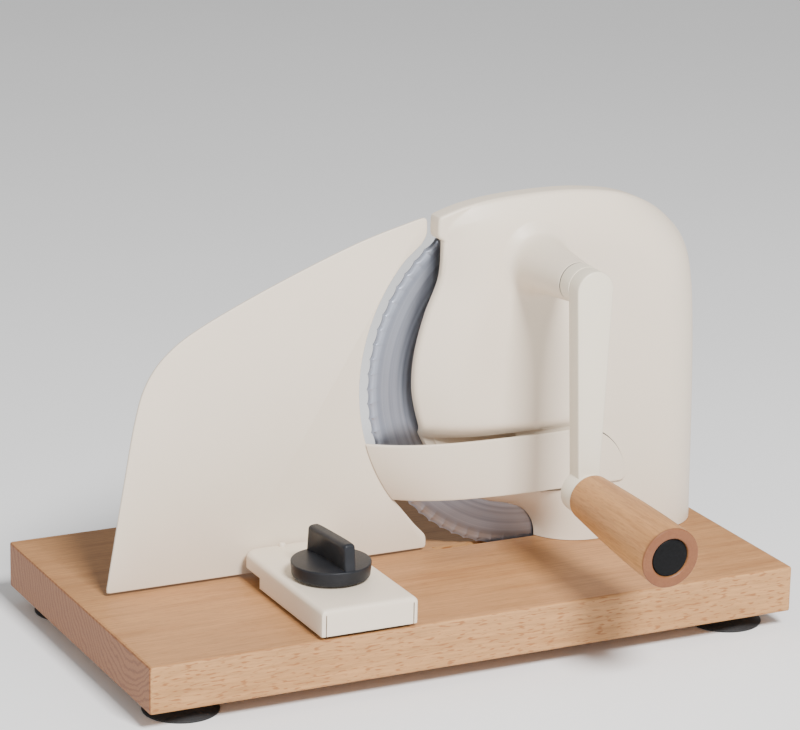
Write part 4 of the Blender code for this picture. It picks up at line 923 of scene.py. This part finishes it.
knob_profile = softened([(0, 23.9), (19.9, 23.9), (19.2, 16.7), (6, 16.7), (6, 22.2), (0, 22.2)], 0.8, 5)
knob_points = turned(knob_profile, (*KNOB, 0), columns=120)
surface("knob_disc", knob_points, black, "knob", ("clamp_knob",))

WING_FOOT, WING_TOP, WING_CROWN = 23.0, 37.2, 0.86
WING_LONG, WING_WIDE, WING_WAIST = 19.2, 3.9, 2.9


def wing_points():
    """Rings up the wing, each a long loop: a sine along it and a flattened cosine across it.

    The waist takes away from its width by a cosine of the height and a parabola of the length. The
    crown, above the share WING_CROWN of the height, is rounded off by a quarter of a circle.
    """
    t = np.linspace(0, 2 * np.pi, 160, endpoint=False)
    loop = np.abs(np.cos(t)) ** 0.25 * np.sign(np.cos(t)), np.sin(t)
    crown_part = 1 - WING_CROWN
    crown_shares = WING_CROWN + crown_part * np.sin(np.linspace(0.2, 1, 7) * np.pi / 2)
    rows = []
    for share in np.concatenate([np.linspace(0, WING_CROWN, 16), crown_shares]):
        height = WING_FOOT + share * (WING_TOP - WING_FOOT)
        crown_drop = np.clip((share - WING_CROWN) / crown_part, 0, 1)
        round_off = math.sqrt(max(1 - crown_drop**2, 0))
        half_long = (WING_LONG - 1.5 * share) - 1.6 * (1 - round_off)
        half_wide = WING_WIDE * (0.35 + 0.65 * round_off)
        along = half_long * np.sign(loop[1]) * np.abs(loop[1]) ** 0.8
        waist = WING_WAIST * np.cos(share * np.pi / 2)
        waist = waist * np.clip(1 - (along / (half_long * 0.93)) ** 2, 0, 1) ** 0.8
        across = loop[0] * (half_wide - np.minimum(waist, half_wide * 0.7))
        rows.append(np.stack([across, along, np.full_like(t, height)], 1))
    top = rows[-1].copy()
    top[:, 0] *= 1e-3
    rows.append(top)
    foot = rows[0].copy()
    foot[:, 0] *= 1e-3
    return np.stack([foot, *rows])


KNOB_TURN = math.radians(5.4)
wing_x, wing_y, wing_z = np.moveaxis(wing_points(), -1, 0)
turned_x = wing_x * math.cos(KNOB_TURN) - wing_y * math.sin(KNOB_TURN)
turned_y = wing_x * math.sin(KNOB_TURN) + wing_y * math.cos(KNOB_TURN)
wing_grid = placed(KNOB[0] + turned_x, KNOB[1] + turned_y, wing_z)
surface("knob_wing", wing_grid, black, "knob", sharp=60)


# Rear cover: a flat sheet inside the casting's rim, held by four screws. It has the same cream powder
# coat as the casting.

frame["nodes"]["rear_plate"].material_slots[0].material = cream


# Studio: a pale floor, a large soft light high in front, a weaker one from the left, and an even pale
# surround.

floor = bpy.data.objects.new("studio_floor", bpy.data.meshes.new("studio_floor"))
floor.data.from_pydata([(-6, -6, 0), (6, -6, 0), (6, 6, 0), (-6, 6, 0)], [], [(0, 1, 2, 3)])
bpy.context.scene.collection.objects.link(floor)
pale = new_material("pale_floor", 0.9)
feed(pale, "Base Color", ramp(pale, noise(pale, in_place(pale), 3, 2), [(0.3, 0.92), (0.7, 0.94)]))
floor.data.materials.append(pale)

surround = bpy.data.worlds.new("surround")
surround.use_nodes = True
sky = surround.node_tree.nodes["Background"]
sky.inputs["Color"].default_value = (1, 1, 1, 1)
sky.inputs["Strength"].default_value = 0.44
bpy.context.scene.world = surround


def soft_light(name, place, size, power):
    """A square area light aimed at the object's middle."""
    lamp = bpy.data.lights.new(name, "AREA")
    lamp.size = size
    lamp.energy = power
    holder = bpy.data.objects.new(name, lamp)
    holder.location = place
    holder.rotation_euler = (Vector((0, 0, 0.1)) - Vector(place)).to_track_quat("-Z", "Y").to_euler()
    bpy.context.scene.collection.objects.link(holder)


soft_light("key_light", (0.02, -1.45, 1.55), 0.5, 80)
soft_light("side_light", (-1.7, -1.4, 0.6), 1.3, 11)

camera = bpy.data.objects.new("camera", bpy.data.cameras.new("camera"))
camera.data.sensor_width = 36
camera.data.lens = 154.85
camera.data.clip_end = 20
camera.location = Vector(BOARD_CORNER) + Vector((-0.56011, -1.38117, 0.59063))
camera.rotation_euler = tuple(math.radians(angle) for angle in (73.436, -1.079, -26.097))
bpy.context.scene.collection.objects.link(camera)
bpy.context.scene.camera = camera
